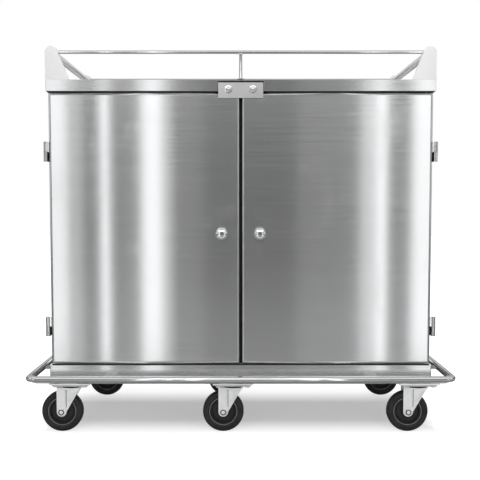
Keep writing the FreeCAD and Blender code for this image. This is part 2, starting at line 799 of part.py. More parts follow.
def make_side_rail(node, side):
    length = f"2 * ({EAR_FRONT} - ear_plate)"
    at = (f"{side} * {RAIL_X}", f"-({length}) / 2", RAIL_Z)
    tube = cylinder("rail_radius", length, at, ALONG_Y)
    bore = cylinder("rail_radius - rail_wall", length, at, ALONG_Y)
    sub_part(node, cut(tube, [bore]))


def make_guard_rod(node, end):
    """Thin rod between the side rails, on one post in the middle."""
    y = f"{end} * {ROD_Y}"
    span = f"2 * ({RAIL_X} - rail_radius)"
    rod = cylinder("rod_radius", span, (f"-({span}) / 2", y, RAIL_Z), ALONG_X)
    post = cylinder("rod_radius", "rail_height", ("0", y, "cabinet_top"))
    foot = cylinder("post_foot_radius", "post_foot_height", ("0", y, "cabinet_top"))
    sub_part(node, fuse([rod, post, foot]))


# Casters, each built round its own kingpin with the wheel trailing to -X

def make_top_plates():
    plates = []
    bolts = []
    for x, y, _ in CASTERS.values():
        body = new_body("TopPlate")
        half_x, half_y = "plate_length / 2", "plate_depth / 2"
        shape = [(f"-{half_x}", f"-{half_y}"), (half_x, f"-{half_y}"), (half_x, half_y),
                 (f"-{half_x}", half_y)]
        slab = pad(body, outline(body, "XY_Plane", PLATE_BOTTOM, shape), "plate_thickness")

        def upright(edge):
            return edge.BoundBox.ZLength > 1

        round_edges(body, slab, "plate_corner", upright)
        race_gap = "(fork_top + race_height + running_gap)"
        race = cylinder("race_radius + 4", f"{PLATE_BOTTOM} - {race_gap}", ("0", "0", race_gap))
        head_top = "(fork_top - fork_wall - running_gap)"
        pin = cylinder("kingpin_radius", f"{PLATE_BOTTOM} - {head_top} + 1",
                       ("0", "0", f"{head_top} - 1"))
        head = cylinder("kingpin_head", "kingpin_head_height",
                        ("0", "0", f"{head_top} - kingpin_head_height"))
        holes = []
        for across in (-1, 1):
            for along in (-1, 1):
                bolt_x = f"{across} * bolt_spacing_long / 2"
                bolt_y = f"{along} * bolt_spacing_short / 2"
                holes.append(cylinder("bolt_radius + 0.3", "plate_thickness * 3",
                                      (bolt_x, bolt_y, f"{PLATE_BOTTOM} - plate_thickness")))
                shank = cylinder("bolt_radius", "plate_thickness",
                                 (f"{x} + {bolt_x}", f"{y} + {bolt_y}", PLATE_BOTTOM))
                cap = hexagon("bolt_head", "bolt_head_height",
                              (f"{x} + {bolt_x}", f"{y} + {bolt_y}",
                               f"{PLATE_BOTTOM} - bolt_head_height"))
                bolts.append(fuse([shank, cap]))
        plate = cut(fuse([body, race, pin, head]), holes)
        put(plate, (x, y, "0"))
        plates.append(plate)
    sub_part("caster_top_plates", group(plates))
    sub_part("caster_bolts", group(bolts))


def stand(item, caster):
    """Set a caster's piece under the cabinet, turned to its trailing side."""
    x, y, way = CASTERS[caster]
    turn = 0 if way < 0 else 180
    return put(item, (x, y, "0"), FreeCAD.Rotation(FreeCAD.Vector(0, 0, 1), turn))


def make_fork(caster):
    """Pressed fork: a folded strip with two leaning legs and a race on top."""
    strip = new_body("ForkStrip")
    out = "(fork_gap / 2 + fork_wall)"
    inn = "(fork_gap / 2)"
    low = "(wheel_radius - fork_eye)"
    under = "(fork_top - fork_wall)"
    section = [(f"-{out}", low), (f"-{inn}", low), (f"-{inn}", under), (inn, under),
               (inn, low), (out, low), (out, "fork_top"), (f"-{out}", "fork_top")]
    folded = pad(strip, outline(strip, "YZ_Plane", "0", section), "wheel_radius * 4", True)
    half, high, wall = number(out), number("fork_top"), number("fork_wall")

    def outer_bend(edge):
        middle = edge.BoundBox.Center
        return abs(abs(middle.y) - half) < 0.01 and abs(middle.z - high) < 0.01

    def inner_bend(edge):
        middle = edge.BoundBox.Center
        return abs(abs(middle.y) - half + wall) < 0.01 and abs(middle.z - high + wall) < 0.01

    rounded = round_edges(strip, folded, "fork_bend", outer_bend)
    round_edges(strip, rounded, "fork_bend - fork_wall", inner_bend)

    side = new_body("ForkSide")
    eye_x = "(-caster_trail)"
    profile = [(f"{eye_x} - fork_eye", "wheel_radius"),
               (f"{eye_x} + fork_eye", "wheel_radius"),
               ("fork_front - 12", "fork_top - 17"),
               ("fork_front", "fork_top"),
               (f"{eye_x} - fork_eye", "fork_top")]
    pad(side, outline(side, "XZ_Plane", "0", profile), "fork_gap * 2", True)
    eye = cylinder("fork_eye", "fork_gap * 2", (eye_x, "-fork_gap", "wheel_radius"), ALONG_Y)
    legs = doc.addObject("Part::Common", "Legs")
    legs.Base = strip
    legs.Tool = fuse([side, eye])

    ribs = []
    for leg in (-1, 1):
        y = f"{leg} * {out}"
        ribs.append(cylinder("rib_radius", "rib_length",
                             (f"{eye_x} + fork_eye * 0.8", y, "wheel_radius + rib_rise")))
        ribs.append(cylinder("dimple_radius", "2 * dimple_height",
                             (eye_x, f"{y} - dimple_height", "wheel_radius + dimple_rise"),
                             ALONG_Y))
    race = cylinder("race_radius", "race_height + 1", ("0", "0", "fork_top - 1"))
    pin_hole = cylinder("kingpin_radius + bore_clearance", "fork_top", ("0", "0", "fork_top / 2"))
    axle_hole = cylinder("axle_radius", "fork_gap * 2", (eye_x, "-fork_gap", "wheel_radius"),
                         ALONG_Y)
    fork = cut(fuse([legs, race] + ribs), [pin_hole, axle_hole])
    stand(sub_part(f"caster_fork_{caster}", fork), caster)


def make_axle(caster):
    span = "(fork_gap + 2 * fork_wall)"
    x = "-caster_trail"
    shank = cylinder("axle_radius", f"{span} + 2 * hex_height",
                     (x, f"-{span} / 2 - hex_height", "wheel_radius"), ALONG_Y)
    ends = []
    for side in (-1, 1):
        start = f"-{span} / 2 - hex_height" if side < 0 else f"{span} / 2"
        ends.append(hexagon("hex_radius", "hex_height", (x, start, "wheel_radius"), ALONG_Y))
    stand(sub_part(f"caster_axle_{caster}", fuse([shank] + ends)), caster)


def ring_profile(inner, half_widths):
    """Right-hand outline of a ring, from a list of radius and half width."""
    upper = [(radius, half) for radius, half in half_widths]
    lower = [(radius, f"-({half})") for radius, half in reversed(half_widths)]
    return [(inner, half_widths[0][1])] + upper[1:] + lower[:-1] + [
        (inner, f"-({half_widths[0][1]})")]


def place_wheel(item, caster):
    x, y, way = CASTERS[caster]
    return put(item, (f"{x} + {way} * caster_trail", y, "wheel_radius"))


def make_tyre(caster):
    body = new_body("Tyre")
    half = "tyre_width / 2"
    inner = "core_radius"
    shape = ring_profile(inner, [(inner, half),
                                 ("wheel_radius - tyre_shoulder", half),
                                 ("wheel_radius", f"{half} - tyre_shoulder")])
    turned = revolve(body, outline(body, "XY_Plane", "0", shape))
    radius = number("wheel_radius")

    def tread(edge):
        return edge.BoundBox.YLength < 0.01 and edge.BoundBox.XMax > radius - 0.01

    round_edges(body, turned, "tyre_shoulder", tread)
    place_wheel(sub_part(f"caster_tyre_{caster}", body), caster)


def make_core(caster):
    body = new_body("Core")
    inner = "axle_radius + bore_clearance"
    half = "core_width / 2"
    shape = ring_profile(inner, [(inner, "boss_width / 2"),
                                 ("boss_radius", "boss_width / 2"),
                                 ("boss_radius", f"{half} - core_recess"),
                                 ("core_radius - 7", f"{half} - core_recess"),
                                 ("core_radius - 5", half),
                                 ("core_radius", half)])
    revolve(body, outline(body, "XY_Plane", "0", shape))
    place_wheel(sub_part(f"caster_core_{caster}", body), caster)


make_base()
make_floor_pan()
make_side_panel("side_panel_left", -1)
make_side_panel("side_panel_right", 1)
make_back_panel()
make_top_panel()
make_partition()
make_ledges("tray_ledges_left", -1)
make_ledges("tray_ledges_right", 1)
make_catches()
for door, side in (("left", -1), ("right", 1)):
    make_door_skin(f"door_{door}_skin", side)
    make_door_liner(f"door_{door}_liner", side)
    make_knob(f"door_{door}_knob", side)
    make_door_hinges(f"door_{door}_hinge_leaves", side)
make_frame_hinges()
make_latch()
make_bumper()
make_ears("corner_ears_front", -1)
make_ears("corner_ears_rear", 1)
make_side_rail("side_rail_left", -1)
make_side_rail("side_rail_right", 1)
make_guard_rod("guard_rod_front", -1)
make_guard_rod("guard_rod_rear", 1)
make_top_plates()
for caster in CASTERS:
    make_fork(caster)
    make_axle(caster)
    make_tyre(caster)
    make_core(caster)

doc.recompute()

for item in doc.Objects:
    if "Invalid" in item.State or "Error" in item.State:
        raise RuntimeError(f"{item.Name} ({item.Label}) did not build")

os.makedirs("parts", exist_ok=True)
for item in SUB_PARTS:
    shape = item.Shape
    if shape.isNull() or not shape.isValid() or not shape.Solids:
        raise RuntimeError(f"{item.Label} has no valid solid")
    shape.exportStep(os.path.join("parts", f"{item.Label}.step"))
    print(f"{item.Label}: {len(shape.Solids)} solids, {shape.Volume / 1000:.1f} cm3")
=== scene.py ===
"""Enclosed meal tray cart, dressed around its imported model. Metres, front is -Y, up is +Z."""

import json
import math

import bmesh
import bpy
from mathutils import Matrix, Vector


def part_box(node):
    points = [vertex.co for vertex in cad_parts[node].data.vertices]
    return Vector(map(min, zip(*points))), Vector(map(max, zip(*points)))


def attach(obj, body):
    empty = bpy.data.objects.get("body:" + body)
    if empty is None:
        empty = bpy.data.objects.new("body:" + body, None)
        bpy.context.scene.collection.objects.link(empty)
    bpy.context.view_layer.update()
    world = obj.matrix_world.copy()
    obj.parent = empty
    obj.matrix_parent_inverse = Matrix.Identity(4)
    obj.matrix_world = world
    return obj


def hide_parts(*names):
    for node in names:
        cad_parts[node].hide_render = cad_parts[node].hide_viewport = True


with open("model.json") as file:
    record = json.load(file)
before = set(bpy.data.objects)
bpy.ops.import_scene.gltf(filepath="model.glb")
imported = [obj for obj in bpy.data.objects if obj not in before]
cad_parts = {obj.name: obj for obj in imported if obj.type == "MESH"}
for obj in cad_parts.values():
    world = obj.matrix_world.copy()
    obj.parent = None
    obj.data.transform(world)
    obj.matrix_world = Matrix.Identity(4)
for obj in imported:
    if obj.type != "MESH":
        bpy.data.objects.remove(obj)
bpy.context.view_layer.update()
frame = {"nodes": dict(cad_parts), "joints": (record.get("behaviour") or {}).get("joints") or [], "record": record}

bl_info = {
    "name": "Meal tray cart",
    "version": (1, 0, 0),
    "blender": (4, 5, 0),
    "location": "View3D > Sidebar > Tray Cart",
    "description": "Dresses a two-door meal tray cart in brushed steel, chrome, zinc and rubber",
    "category": "Object",
}

JOINTS = {joint["name"]: joint for joint in frame["joints"]}
CASTERS = [name[len("swivel_"):] for name in JOINTS if name.startswith("swivel_")]
SIDES = {"left": -1, "right": 1}
X_AXIS, Y_AXIS = Vector((1, 0, 0)), Vector((0, 1, 0))


# Shader and geometry trees

class Value:
    """A number on a socket. Arithmetic on it adds Math nodes to its tree."""

    def __init__(self, tree, socket):
        self.tree = tree
        self.socket = socket

    def _with(self, operation, first, second):
        node = self.tree.node("ShaderNodeMath", {"operation": operation}, {0: first, 1: second})
        return Value(self.tree, node.outputs[0])

    def __add__(self, other):
        return self._with("ADD", self, other)

    def __radd__(self, other):
        return self._with("ADD", other, self)

    def __sub__(self, other):
        return self._with("SUBTRACT", self, other)

    def __rsub__(self, other):
        return self._with("SUBTRACT", other, self)

    def __mul__(self, other):
        return self._with("MULTIPLY", self, other)

    def __rmul__(self, other):
        return self._with("MULTIPLY", other, self)

    def size(self):
        return self._with("ABSOLUTE", self, 0.0)

    def most(self, other):
        return self._with("MAXIMUM", self, other)

    def clamped(self):
        node = self.tree.node("ShaderNodeClamp", {}, {"Value": self})
        return Value(self.tree, node.outputs[0])


class Tree:
    """A node tree, with one call for any node."""

    def __init__(self, nodes):
        self.tree = nodes
        nodes.nodes.clear()

    def node(self, kind, settings=None, inputs=None):
        node = self.tree.nodes.new(kind)
        for name, value in (settings or {}).items():
            setattr(node, name, value)
        for name, value in (inputs or {}).items():
            self.feed(node.inputs[name], value)
        return node

    def feed(self, socket, value):
        if isinstance(value, Value):
            value = value.socket
        if isinstance(value, bpy.types.NodeSocket):
            self.tree.links.new(value, socket)
        else:
            socket.default_value = value

    def spread(self, value, low, high):
        """Stretch the part of a value between low and high over 0 to 1."""
        node = self.node("ShaderNodeMapRange", {"clamp": True}, {
            "Value": value, "From Min": low, "From Max": high})
        return Value(self, node.outputs[0])


class Finish(Tree):
    """A material with its patterns laid on Object coordinates."""

    def __init__(self, name):
        self.material = bpy.data.materials.new(name)
        self.material.use_nodes = True
        super().__init__(self.material.node_tree)
        self.place = self.node("ShaderNodeTexCoord").outputs["Object"]

    def noise(self, grain, detail=3.0, roughness=0.5):
        """Noise stretched by a grain vector: repeats per metre along each axis."""
        mapped = self.node("ShaderNodeMapping", {}, {"Vector": self.place, "Scale": grain})
        noise = self.node("ShaderNodeTexNoise", {}, {
            "Vector": mapped.outputs[0], "Scale": 1.0, "Detail": detail, "Roughness": roughness})
        return Value(self, noise.outputs["Fac"])

    def blend(self, factor, first, second):
        mix = self.node("ShaderNodeMix", {"data_type": "RGBA"}, {0: factor, 6: first, 7: second})
        return mix.outputs[2]

    def shades(self, factor, color, first, second):
        """A colour between two of its own tints."""
        return self.blend(factor, tint(color, first), tint(color, second))

    def bump(self, height, strength, distance):
        node = self.node("ShaderNodeBump", {}, {
            "Strength": strength, "Distance": distance, "Height": height})
        return node.outputs[0]

    def surface(self, **sockets):
        named = {name.replace("_", " "): value for name, value in sockets.items()}
        shader = self.node("ShaderNodeBsdfPrincipled", {}, named)
        self.node("ShaderNodeOutputMaterial", {}, {"Surface": shader.outputs[0]})
        return self.material


def tint(color, factor):
    return (*[min(1.0, channel * factor) for channel in color[:3]], 1.0)


def grey(level):
    return (level, level, level, 1.0)


# Finishes

def brushed_steel(name, color, grain, roughness=0.19, stretch=0.88):
    """Sheet steel brushed along the low axis of its grain."""
    finish = Finish(name)
    fine = finish.noise(grain, 2.0, 0.6)
    broad = finish.noise((2.2, 2.2, 3.1), 3.0)
    smudge = finish.spread(finish.noise((9, 9, 6), 5.0, 0.65), 0.56, 0.74)
    shade = fine * 0.6 + broad * 0.4
    return finish.surface(
        Base_Color=finish.shades(finish.spread(shade, 0.3, 0.7), color, 0.93, 1.04),
        Metallic=1.0,
        Roughness=roughness - 0.05 + fine * 0.1 + smudge * 0.045,
        Anisotropic=stretch,
        Anisotropic_Rotation=0.25,
        Normal=finish.bump(fine, 0.03, 0.0003),
    )


def satin_steel(name, color, roughness=0.4):
    """Fine satin plate with a faint cloudy variation."""
    finish = Finish(name)
    fine = finish.noise((700, 700, 700), 2.0)
    cloud = finish.noise((14, 14, 14), 4.0)
    return finish.surface(
        Base_Color=finish.shades(cloud, color, 0.94, 1.05),
        Metallic=1.0,
        Roughness=roughness - 0.04 + cloud * 0.08,
        Normal=finish.bump(fine, 0.06, 0.0003),
    )


def polished_tube(name, color):
    """Drawn tube, polished, with handling marks."""
    finish = Finish(name)
    rub = finish.spread(finish.noise((11, 11, 40), 5.0, 0.6), 0.48, 0.72)
    fine = finish.noise((500, 500, 500), 2.0)
    return finish.surface(
        Base_Color=finish.shades(rub, color, 1.03, 0.9),
        Metallic=1.0,
        Roughness=0.09 + rub * 0.08 + fine * 0.03,
        Normal=finish.bump(fine, 0.03, 0.0002),
    )


def zinc_plate(name, color):
    """Zinc plating: a mottled pale grey with a soft shine."""
    finish = Finish(name)
    mottle = finish.noise((60, 60, 60), 4.0, 0.6)
    grime = finish.spread(finish.noise((26, 26, 18), 5.0, 0.7), 0.52, 0.78)
    shade = finish.shades(mottle, color, 0.9, 1.06)
    return finish.surface(
        Base_Color=finish.blend(grime * 0.35, shade, tint(color, 0.55)),
        Metallic=0.35,
        Roughness=0.26 + mottle * 0.1 + grime * 0.12,
        Normal=finish.bump(mottle, 0.08, 0.0004),
    )


def chrome_plate(name, color):
    finish = Finish(name)
    film = finish.spread(finish.noise((70, 70, 70), 4.0, 0.6), 0.5, 0.8)
    return finish.surface(
        Base_Color=finish.shades(film, color, 1.0, 0.93),
        Metallic=1.0,
        Roughness=0.045 + film * 0.07,
        Normal=finish.bump(finish.noise((300, 300, 300), 1.0), 0.01, 0.0002),
    )


def rubber_tread(name, color):
    """Black rubber with floor dust on it."""
    finish = Finish(name)
    dust = finish.spread(finish.noise((42, 42, 42), 6.0, 0.65), 0.44, 0.75)
    pores = finish.noise((900, 900, 900), 2.0)
    return finish.surface(
        Base_Color=finish.shades(dust * 0.5, color, 1.0, 3.0),
        Specular_IOR_Level=0.3,
        Roughness=0.42 + dust * 0.2,
        Normal=finish.bump(pores, 0.15, 0.0004),
    )


def moulded_core(name, color):
    """Dark moulded wheel centre with a slight orange-peel."""
    finish = Finish(name)
    peel = finish.noise((240, 240, 240), 2.0)
    scuff = finish.spread(finish.noise((50, 50, 50), 5.0, 0.7), 0.55, 0.78)
    return finish.surface(
        Base_Color=finish.shades(scuff * 0.6, color, 1.0, 2.0),
        Specular_IOR_Level=0.35,
        Roughness=0.36 + scuff * 0.2,
        Normal=finish.bump(peel, 0.1, 0.0005),
    )


# Meshes

def placed(name, data):
    """A new object in the scene."""
    item = bpy.data.objects.new(name, data)
    bpy.context.scene.collection.objects.link(item)
    return item


def settled(item):
    """Replace a piece's mesh by its modified one, and drop the modifiers."""
    shown = item.evaluated_get(bpy.context.evaluated_depsgraph_get())
    mesh = bpy.data.meshes.new_from_object(shown)
    item.modifiers.clear()
    item.data = mesh
    return item


def piece(name, mesh, finish, body, replaced=(), crease=None):
    """A finished piece on its CAD body, standing for the nodes it replaces.

    With a crease angle, in degrees, it is shaded smooth apart from sharper edges.
    """
    if crease is not None:
        mesh.shade_smooth()
        mesh.set_sharp_from_angle(angle=math.radians(crease))
    item = placed(name, mesh)
    mesh.materials.clear()
    mesh.materials.append(FINISHES[finish])
    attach(item, body)
    if replaced:
        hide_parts(*replaced)
    return item


def bevel(item, width, segments=2, angle=32):
    round_off = item.modifiers.new("edges", "BEVEL")
    round_off.width = width
    round_off.segments = segments
    round_off.limit_method = "ANGLE"
    round_off.angle_limit = math.radians(angle)
    round_off.harden_normals = True
    item.data.shade_smooth()
    return evened(item)


def evened(item):
    """Let the large flat faces rule the shading, so that they mirror as flat."""
    even = item.modifiers.new("even_faces", "WEIGHTED_NORMAL")
    even.mode = "FACE_AREA"
    even.weight = 100
    even.thresh = 0.0
    bpy.context.view_layer.update()
    return settled(item)


def meshed(work, name):
    """The mesh of a bmesh that is done with."""
    mesh = bpy.data.meshes.new(name)
    work.to_mesh(mesh)
    work.free()
    return mesh


def node_mesh(node):
    """A merged copy of a CAD node's mesh with its flat faces joined up."""
    work = bmesh.new()
    work.from_mesh(frame["nodes"][node].data)
    bmesh.ops.remove_doubles(work, verts=work.verts, dist=2e-6)
    bmesh.ops.dissolve_limit(work, angle_limit=math.radians(0.5), verts=work.verts,
                             edges=work.edges)
    return meshed(work, node)


def body_of(node):
    for body, nodes in frame["record"]["behaviour"]["bodies"].items():
        if node in nodes:
            return body
    raise ValueError(node)


def softened(node, finish, width, segments=2, angle=32):
    """A CAD piece with its sharp edges broken, so that they catch the light."""
    item = piece(f"{node}_finished", node_mesh(node), finish, body_of(node), [node])
    return bevel(item, width, segments, angle)


def skin(work, rings, closed=True):
    """Faces between neighbouring rings of corners. A ring may be a single point."""
    for lower, upper in zip(rings, rings[1:]):
        count = max(len(lower), len(upper))
        for step in range(count if closed else count - 1):
            after = (step + 1) % count
            corners = [lower[step % len(lower)], lower[after % len(lower)],
                       upper[after % len(upper)], upper[step % len(upper)]]
            unique = list(dict.fromkeys(corners))
            if len(unique) > 2:
                work.faces.new(unique)


def ring(work, radius, height, steps):
    """Corners round Z, or a single one on the axis."""
    turns = [math.tau * step / steps for step in range(steps if radius > 0 else 1)]
    return [work.verts.new((radius * math.cos(turn), radius * math.sin(turn), height))
            for turn in turns]


def lathe(profile, steps=64, closed=False):
    """Turn a list of (radius, height) about Z. Closed profiles make rings."""
    work = bmesh.new()
    rings = [ring(work, radius, height, steps) for radius, height in profile]
    if closed:
        rings.append(rings[0])
    skin(work, rings)
    bmesh.ops.recalc_face_normals(work, faces=work.faces)
    return meshed(work, "turned")


def hexagon(radius, height, chamfer):
    """Hexagonal head from z=0 up, with its top corners turned down."""
    work = bmesh.new()
    rings = [ring(work, reach, level, 6) for reach, level in (
        (radius, 0), (radius, height - chamfer * 0.5), (radius - chamfer, height))]
    skin(work, rings)
    work.faces.new(rings[-1])
    work.faces.new(list(reversed(rings[0])))
    return meshed(work, "hexagon")


def doubled(side):
    """A turned profile with its mirror image below the middle."""
    return side + [(radius, -height) for radius, height in reversed(side)]


def slab(one, other):
    """A closed block between two opposite corners, for a strip."""
    low, high = zip(*[sorted(ends) for ends in zip(one, other)])
    work = bmesh.new()
    made = bmesh.ops.create_cube(work, size=1.0)
    for vert in made["verts"]:
        for axis in range(3):
            vert.co[axis] = high[axis] if vert.co[axis] > 0 else low[axis]
    return meshed(work, "strip")


def pan(low, high, fold, wall, steps=7):
    """A sheet metal pan, open at the back, with a rounded fold all round its face."""
    outer, inner = [], []
    for step in range(steps + 1):
        angle = math.pi / 2 * step / steps
        outer.append((fold * (1 - math.sin(angle)), fold * (1 - math.cos(angle))))
        inner.append((wall + (fold - wall) * (1 - math.sin(angle)),
                      wall + (fold - wall) * (1 - math.cos(angle))))
    depth = high.y - low.y
    work = bmesh.new()
    rings = []
    for inset, back in [*outer, (0.0, depth), (wall, depth), *reversed(inner)]:
        y = low.y + back
        rings.append([work.verts.new(corner) for corner in (
            (low.x + inset, y, low.z + inset), (high.x - inset, y, low.z + inset),
            (high.x - inset, y, high.z - inset), (low.x + inset, y, high.z - inset))])
    skin(work, rings)
    work.faces.new(rings[0])
    work.faces.new(list(reversed(rings[-1])))
    bmesh.ops.recalc_face_normals(work, faces=work.faces)
    return meshed(work, "pan")


def aim(direction, at):
    """The move that takes local Z to a direction and the origin to a place."""
    turn = direction.to_track_quat("Z", "Y").to_matrix().to_4x4()
    return Matrix.Translation(at) @ turn


def moved(mesh, matrix):
    mesh.transform(matrix)
    return mesh


def merged(meshes):
    """Several meshes as one."""
    work = bmesh.new()
    for mesh in meshes:
        work.from_mesh(mesh)
    return meshed(work, "merged")


def ring_pair(profile, steps, centre, reach=0.0):
    """A turned ring on each side of a centre, both facing outwards along Y."""
    return merged([moved(lathe(profile, steps, True),
                         aim(Y_AXIS * side, centre + Y_AXIS * side * reach))
                   for side in (-1, 1)])


# Geometry Nodes

class Growth(Tree):
    """A geometry tree with named inputs, ending in realized, shaded mesh."""

    def __init__(self, name, inputs):
        group = bpy.data.node_groups.new(name, "GeometryNodeTree")
        super().__init__(group)
        self.group = group
        self.keys = {}
        for label, (kind, value) in inputs.items():
            socket = group.interface.new_socket(label, in_out="INPUT",
                                                socket_type=f"NodeSocket{kind}")
            socket.default_value = value
            self.keys[label] = socket.identifier
        group.interface.new_socket("Geometry", in_out="OUTPUT",
                                   socket_type="NodeSocketGeometry")
        self.given = self.node("NodeGroupInput")

    def made(self, kind, inputs, settings=None):
        """What one more geometry node makes."""
        return self.node(f"GeometryNode{kind}", settings, inputs).outputs[0]

    def end(self, geometry, material):
        whole = self.made("RealizeInstances", {0: geometry})
        shaded = self.made("SetMaterial", {"Geometry": whole, "Material": material})
        self.node("NodeGroupOutput", {}, {0: shaded})

    def grown(self, **values):
        """The mesh that the tree makes with these inputs."""
        holder = placed("growth", bpy.data.meshes.new("growth"))
        modifier = holder.modifiers.new("growth", "NODES")
        modifier.node_group = self.group
        for label, value in values.items():
            modifier[self.keys[label]] = value
        holder.update_tag()
        bpy.context.view_layer.update()
        mesh = settled(holder).data
        bpy.data.objects.remove(holder)
        return mesh


def swept_loop(material):
    """Tube round a rectangle with its corners cut off, for the bumper."""
    tree = Growth("bumper_sweep", {
        "Length": ("Float", 1.0), "Width": ("Float", 0.5), "Bend": ("Float", 0.03),
        "Tube": ("Float", 0.0125)})
    given = tree.given.outputs
    outline = tree.made("CurvePrimitiveQuadrilateral", {
        "Width": given["Length"], "Height": given["Width"]})
    mitred = tree.made("FilletCurve", {
        "Curve": outline, "Count": 1, "Radius": given["Bend"]}, {"mode": "POLY"})
    section = tree.made("CurvePrimitiveCircle", {"Resolution": 40, "Radius": given["Tube"]})
    tree.end(tree.made("CurveToMesh", {"Curve": mitred, "Profile Curve": section}), material)
    return tree


def ring_of_balls(material):
    """Balls in a ring about Z, for bearings and for beads of weld."""
    tree = Growth("ball_ring", {
        "Count": ("Int", 16), "Radius": ("Float", 0.02), "Ball": ("Float", 0.002)})
    given = tree.given.outputs
    circle = tree.made("MeshCircle", {"Vertices": given["Count"], "Radius": given["Radius"]})
    ball = tree.made("MeshIcoSphere", {"Radius": given["Ball"], "Subdivisions": 3})
    tree.end(tree.made("InstanceOnPoints", {"Points": circle, "Instance": ball}), material)
    return tree


def row_of_heads(material):
    """Domed heads in a row, for screws and rivets."""
    tree = Growth("head_row", {
        "Count": ("Int", 2), "Start": ("Vector", (0, 0, 0)), "Step": ("Vector", (0, 0, 0)),
        "Radius": ("Float", 0.003), "Squash": ("Vector", (1, 1, 1))})
    given = tree.given.outputs
    line = tree.made("MeshLine", {
        "Count": given["Count"], "Start Location": given["Start"], "Offset": given["Step"]},
        {"mode": "OFFSET", "count_mode": "TOTAL"})
    ball = tree.made("MeshUVSphere", {"Segments": 20, "Rings": 10, "Radius": given["Radius"]})
    head = tree.made("Transform", {"Geometry": ball, "Scale": given["Squash"]})
    tree.end(tree.made("InstanceOnPoints", {"Points": line, "Instance": head}), material)
    return tree


# Settings

def color(label, about, default):
    return bpy.props.FloatVectorProperty(name=label, description=about, subtype="COLOR",
                                         default=default)


def number(label, about, default, **kind):
    return bpy.props.FloatProperty(name=label, description=about, default=default, **kind)


def length(label, about, default):
    return number(label, about, default, unit="LENGTH")


class CartFinishSettings(bpy.types.PropertyGroup):
    """Colours of the cart's finishes."""
    steel: color("Sheet steel", "Colour of the brushed sheets", (0.66, 0.665, 0.67))
    plate: color("Satin plate", "Colour of the ears and the latch", (0.94, 0.94, 0.945))
    tube: color("Tube", "Colour of the bumper and the rails", (0.7, 0.703, 0.705))
    zinc: color("Zinc", "Colour of the casters' plated steel", (0.94, 0.945, 0.95))
    chrome: color("Chrome", "Colour of the knobs and dome nuts", (0.86, 0.87, 0.88))
    rubber: color("Rubber", "Colour of the tyres", (0.017, 0.017, 0.018))
    core: color("Wheel core", "Colour of the wheels' centres", (0.02, 0.02, 0.022))
    # Painted highlight: the band's colour stands in for light caught by the wheel's rim
    band: color("Rim band", "Colour of the painted band round each wheel's centre",
                (0.2, 0.2, 0.205))


class CartDetailSettings(bpy.types.PropertyGroup):
    """Small sizes that only the finish needs."""
    edge: length("Sheet edge", "Rounding of sheet metal edges", 0.0008)
    fold: length("Fold", "Outer radius of the top panel's folds", 0.0022)
    door_fold: length("Door fold", "Outer radius of the fold round each door", 0.007)
    gasket: length("Gasket", "Thickness of the gasket strips", 0.0007)
    rivet: length("Rivet", "Radius of the rivets' heads", 0.0032)
    ball: length("Bearing ball", "Radius of the balls in the swivels", 0.0021)
    balls: bpy.props.IntProperty(name="Balls", description="Balls in each swivel", default=26)
    screw: length("Screw head", "Radius of the hinge screws' heads", 0.0036)
    bead: length("Weld bead", "Radius of one drop of a weld bead", 0.0016)


class CartStageSettings(bpy.types.PropertyGroup):
    """Camera and light."""
    distance: length("Distance", "From the camera to the front fascia", 2.6627)
    height: length("Height", "Of the camera above the floor", 0.7096)
    aside: length("Aside", "The camera's place to the left of the middle", 0.0021)
    pitch: number("Pitch", "Of the camera below level", math.radians(3.965), subtype="ANGLE")
    lens: number("Lens", "Focal length on a 36 mm sensor, in millimetres", 66.0)
    rise: number("Rise", "Vertical shift of the lens", 0.05)
    surround: number("Surround", "Brightness of the room", 0.172)
    glare: number("Glare", "Brightness that gloss meets overhead and aside", 0.7)


def settings():
    scene = bpy.context.scene
    return scene.cart_finish, scene.cart_detail, scene.cart_stage


FINISHES = {}


def make_finishes():
    colors = settings()[0]
    along, upright = (5, 900, 900), (900, 5, 900)
    FINISHES.update(
        front_sheet=brushed_steel("front_sheet", colors.steel, along),
        side_sheet=brushed_steel("side_sheet", colors.steel, upright),
        lid_sheet=brushed_steel("lid_sheet", tint(colors.steel, 1.12), along, 0.17, 0.0),
        plate=satin_steel("satin_plate", colors.plate),
        latch=satin_steel("latch_plate", tint(colors.plate, 0.84)),
        # Satin plate darkened to 0.4: painted shade for the bumper brackets under the tube
        bracket=satin_steel("painted_shade_bracket_plate", tint(colors.plate, 0.4), 0.45),
        # Satin plate nearly black: painted shade, so that the latch's hinge bracket shows as the dark notch round
        # the flap
        dark=satin_steel("latch_notch_painted_shade", tint(colors.plate, 0.07), 0.5),
        tube=polished_tube("polished_tube", colors.tube),
        # The tube finish darkened to 0.8 for the guard rods and side rails: painted shade
        rod=polished_tube("polished_rod", tint(colors.tube, 0.8)),
        zinc=zinc_plate("zinc_plate", colors.zinc),
        # Zinc darkened to half: painted shade for the caster top plates, which sit in the shadow under the bumper
        dull=zinc_plate("dull_zinc_plate", tint(colors.zinc, 0.5)),
        chrome=chrome_plate("chrome_plate", colors.chrome),
        rubber=rubber_tread("rubber_tread", colors.rubber),
        core=moulded_core("moulded_core", colors.core),
        # The rim band is a lighter copy of the core: a painted highlight
        band=moulded_core("rim_band", colors.band),
        magnet=moulded_core("magnet_block", colors.core),
    )
    # The hinges shine as the bumper does, and the bearing balls as the knobs do
    FINISHES.update(hinge=FINISHES["tube"], ball=FINISHES["chrome"])


# Where each lamp strip shows in the doors: from, to, and how bright
STRIPS = ((-0.605, -0.522, 1.25), (-0.51, -0.478, 0.5), (-0.421, -0.4, 2.3),
          (-0.36, -0.3, 0.12), (-0.3, -0.238, 1.45), (-0.238, -0.205, 0.5),
          (-0.18, -0.11, 0.1), (0.17, 0.355, 0.11), (0.36, 0.415, 0.7),
          (0.415, 0.442, 1.9), (0.455, 0.505, 0.07), (0.518, 0.605, 1.4))


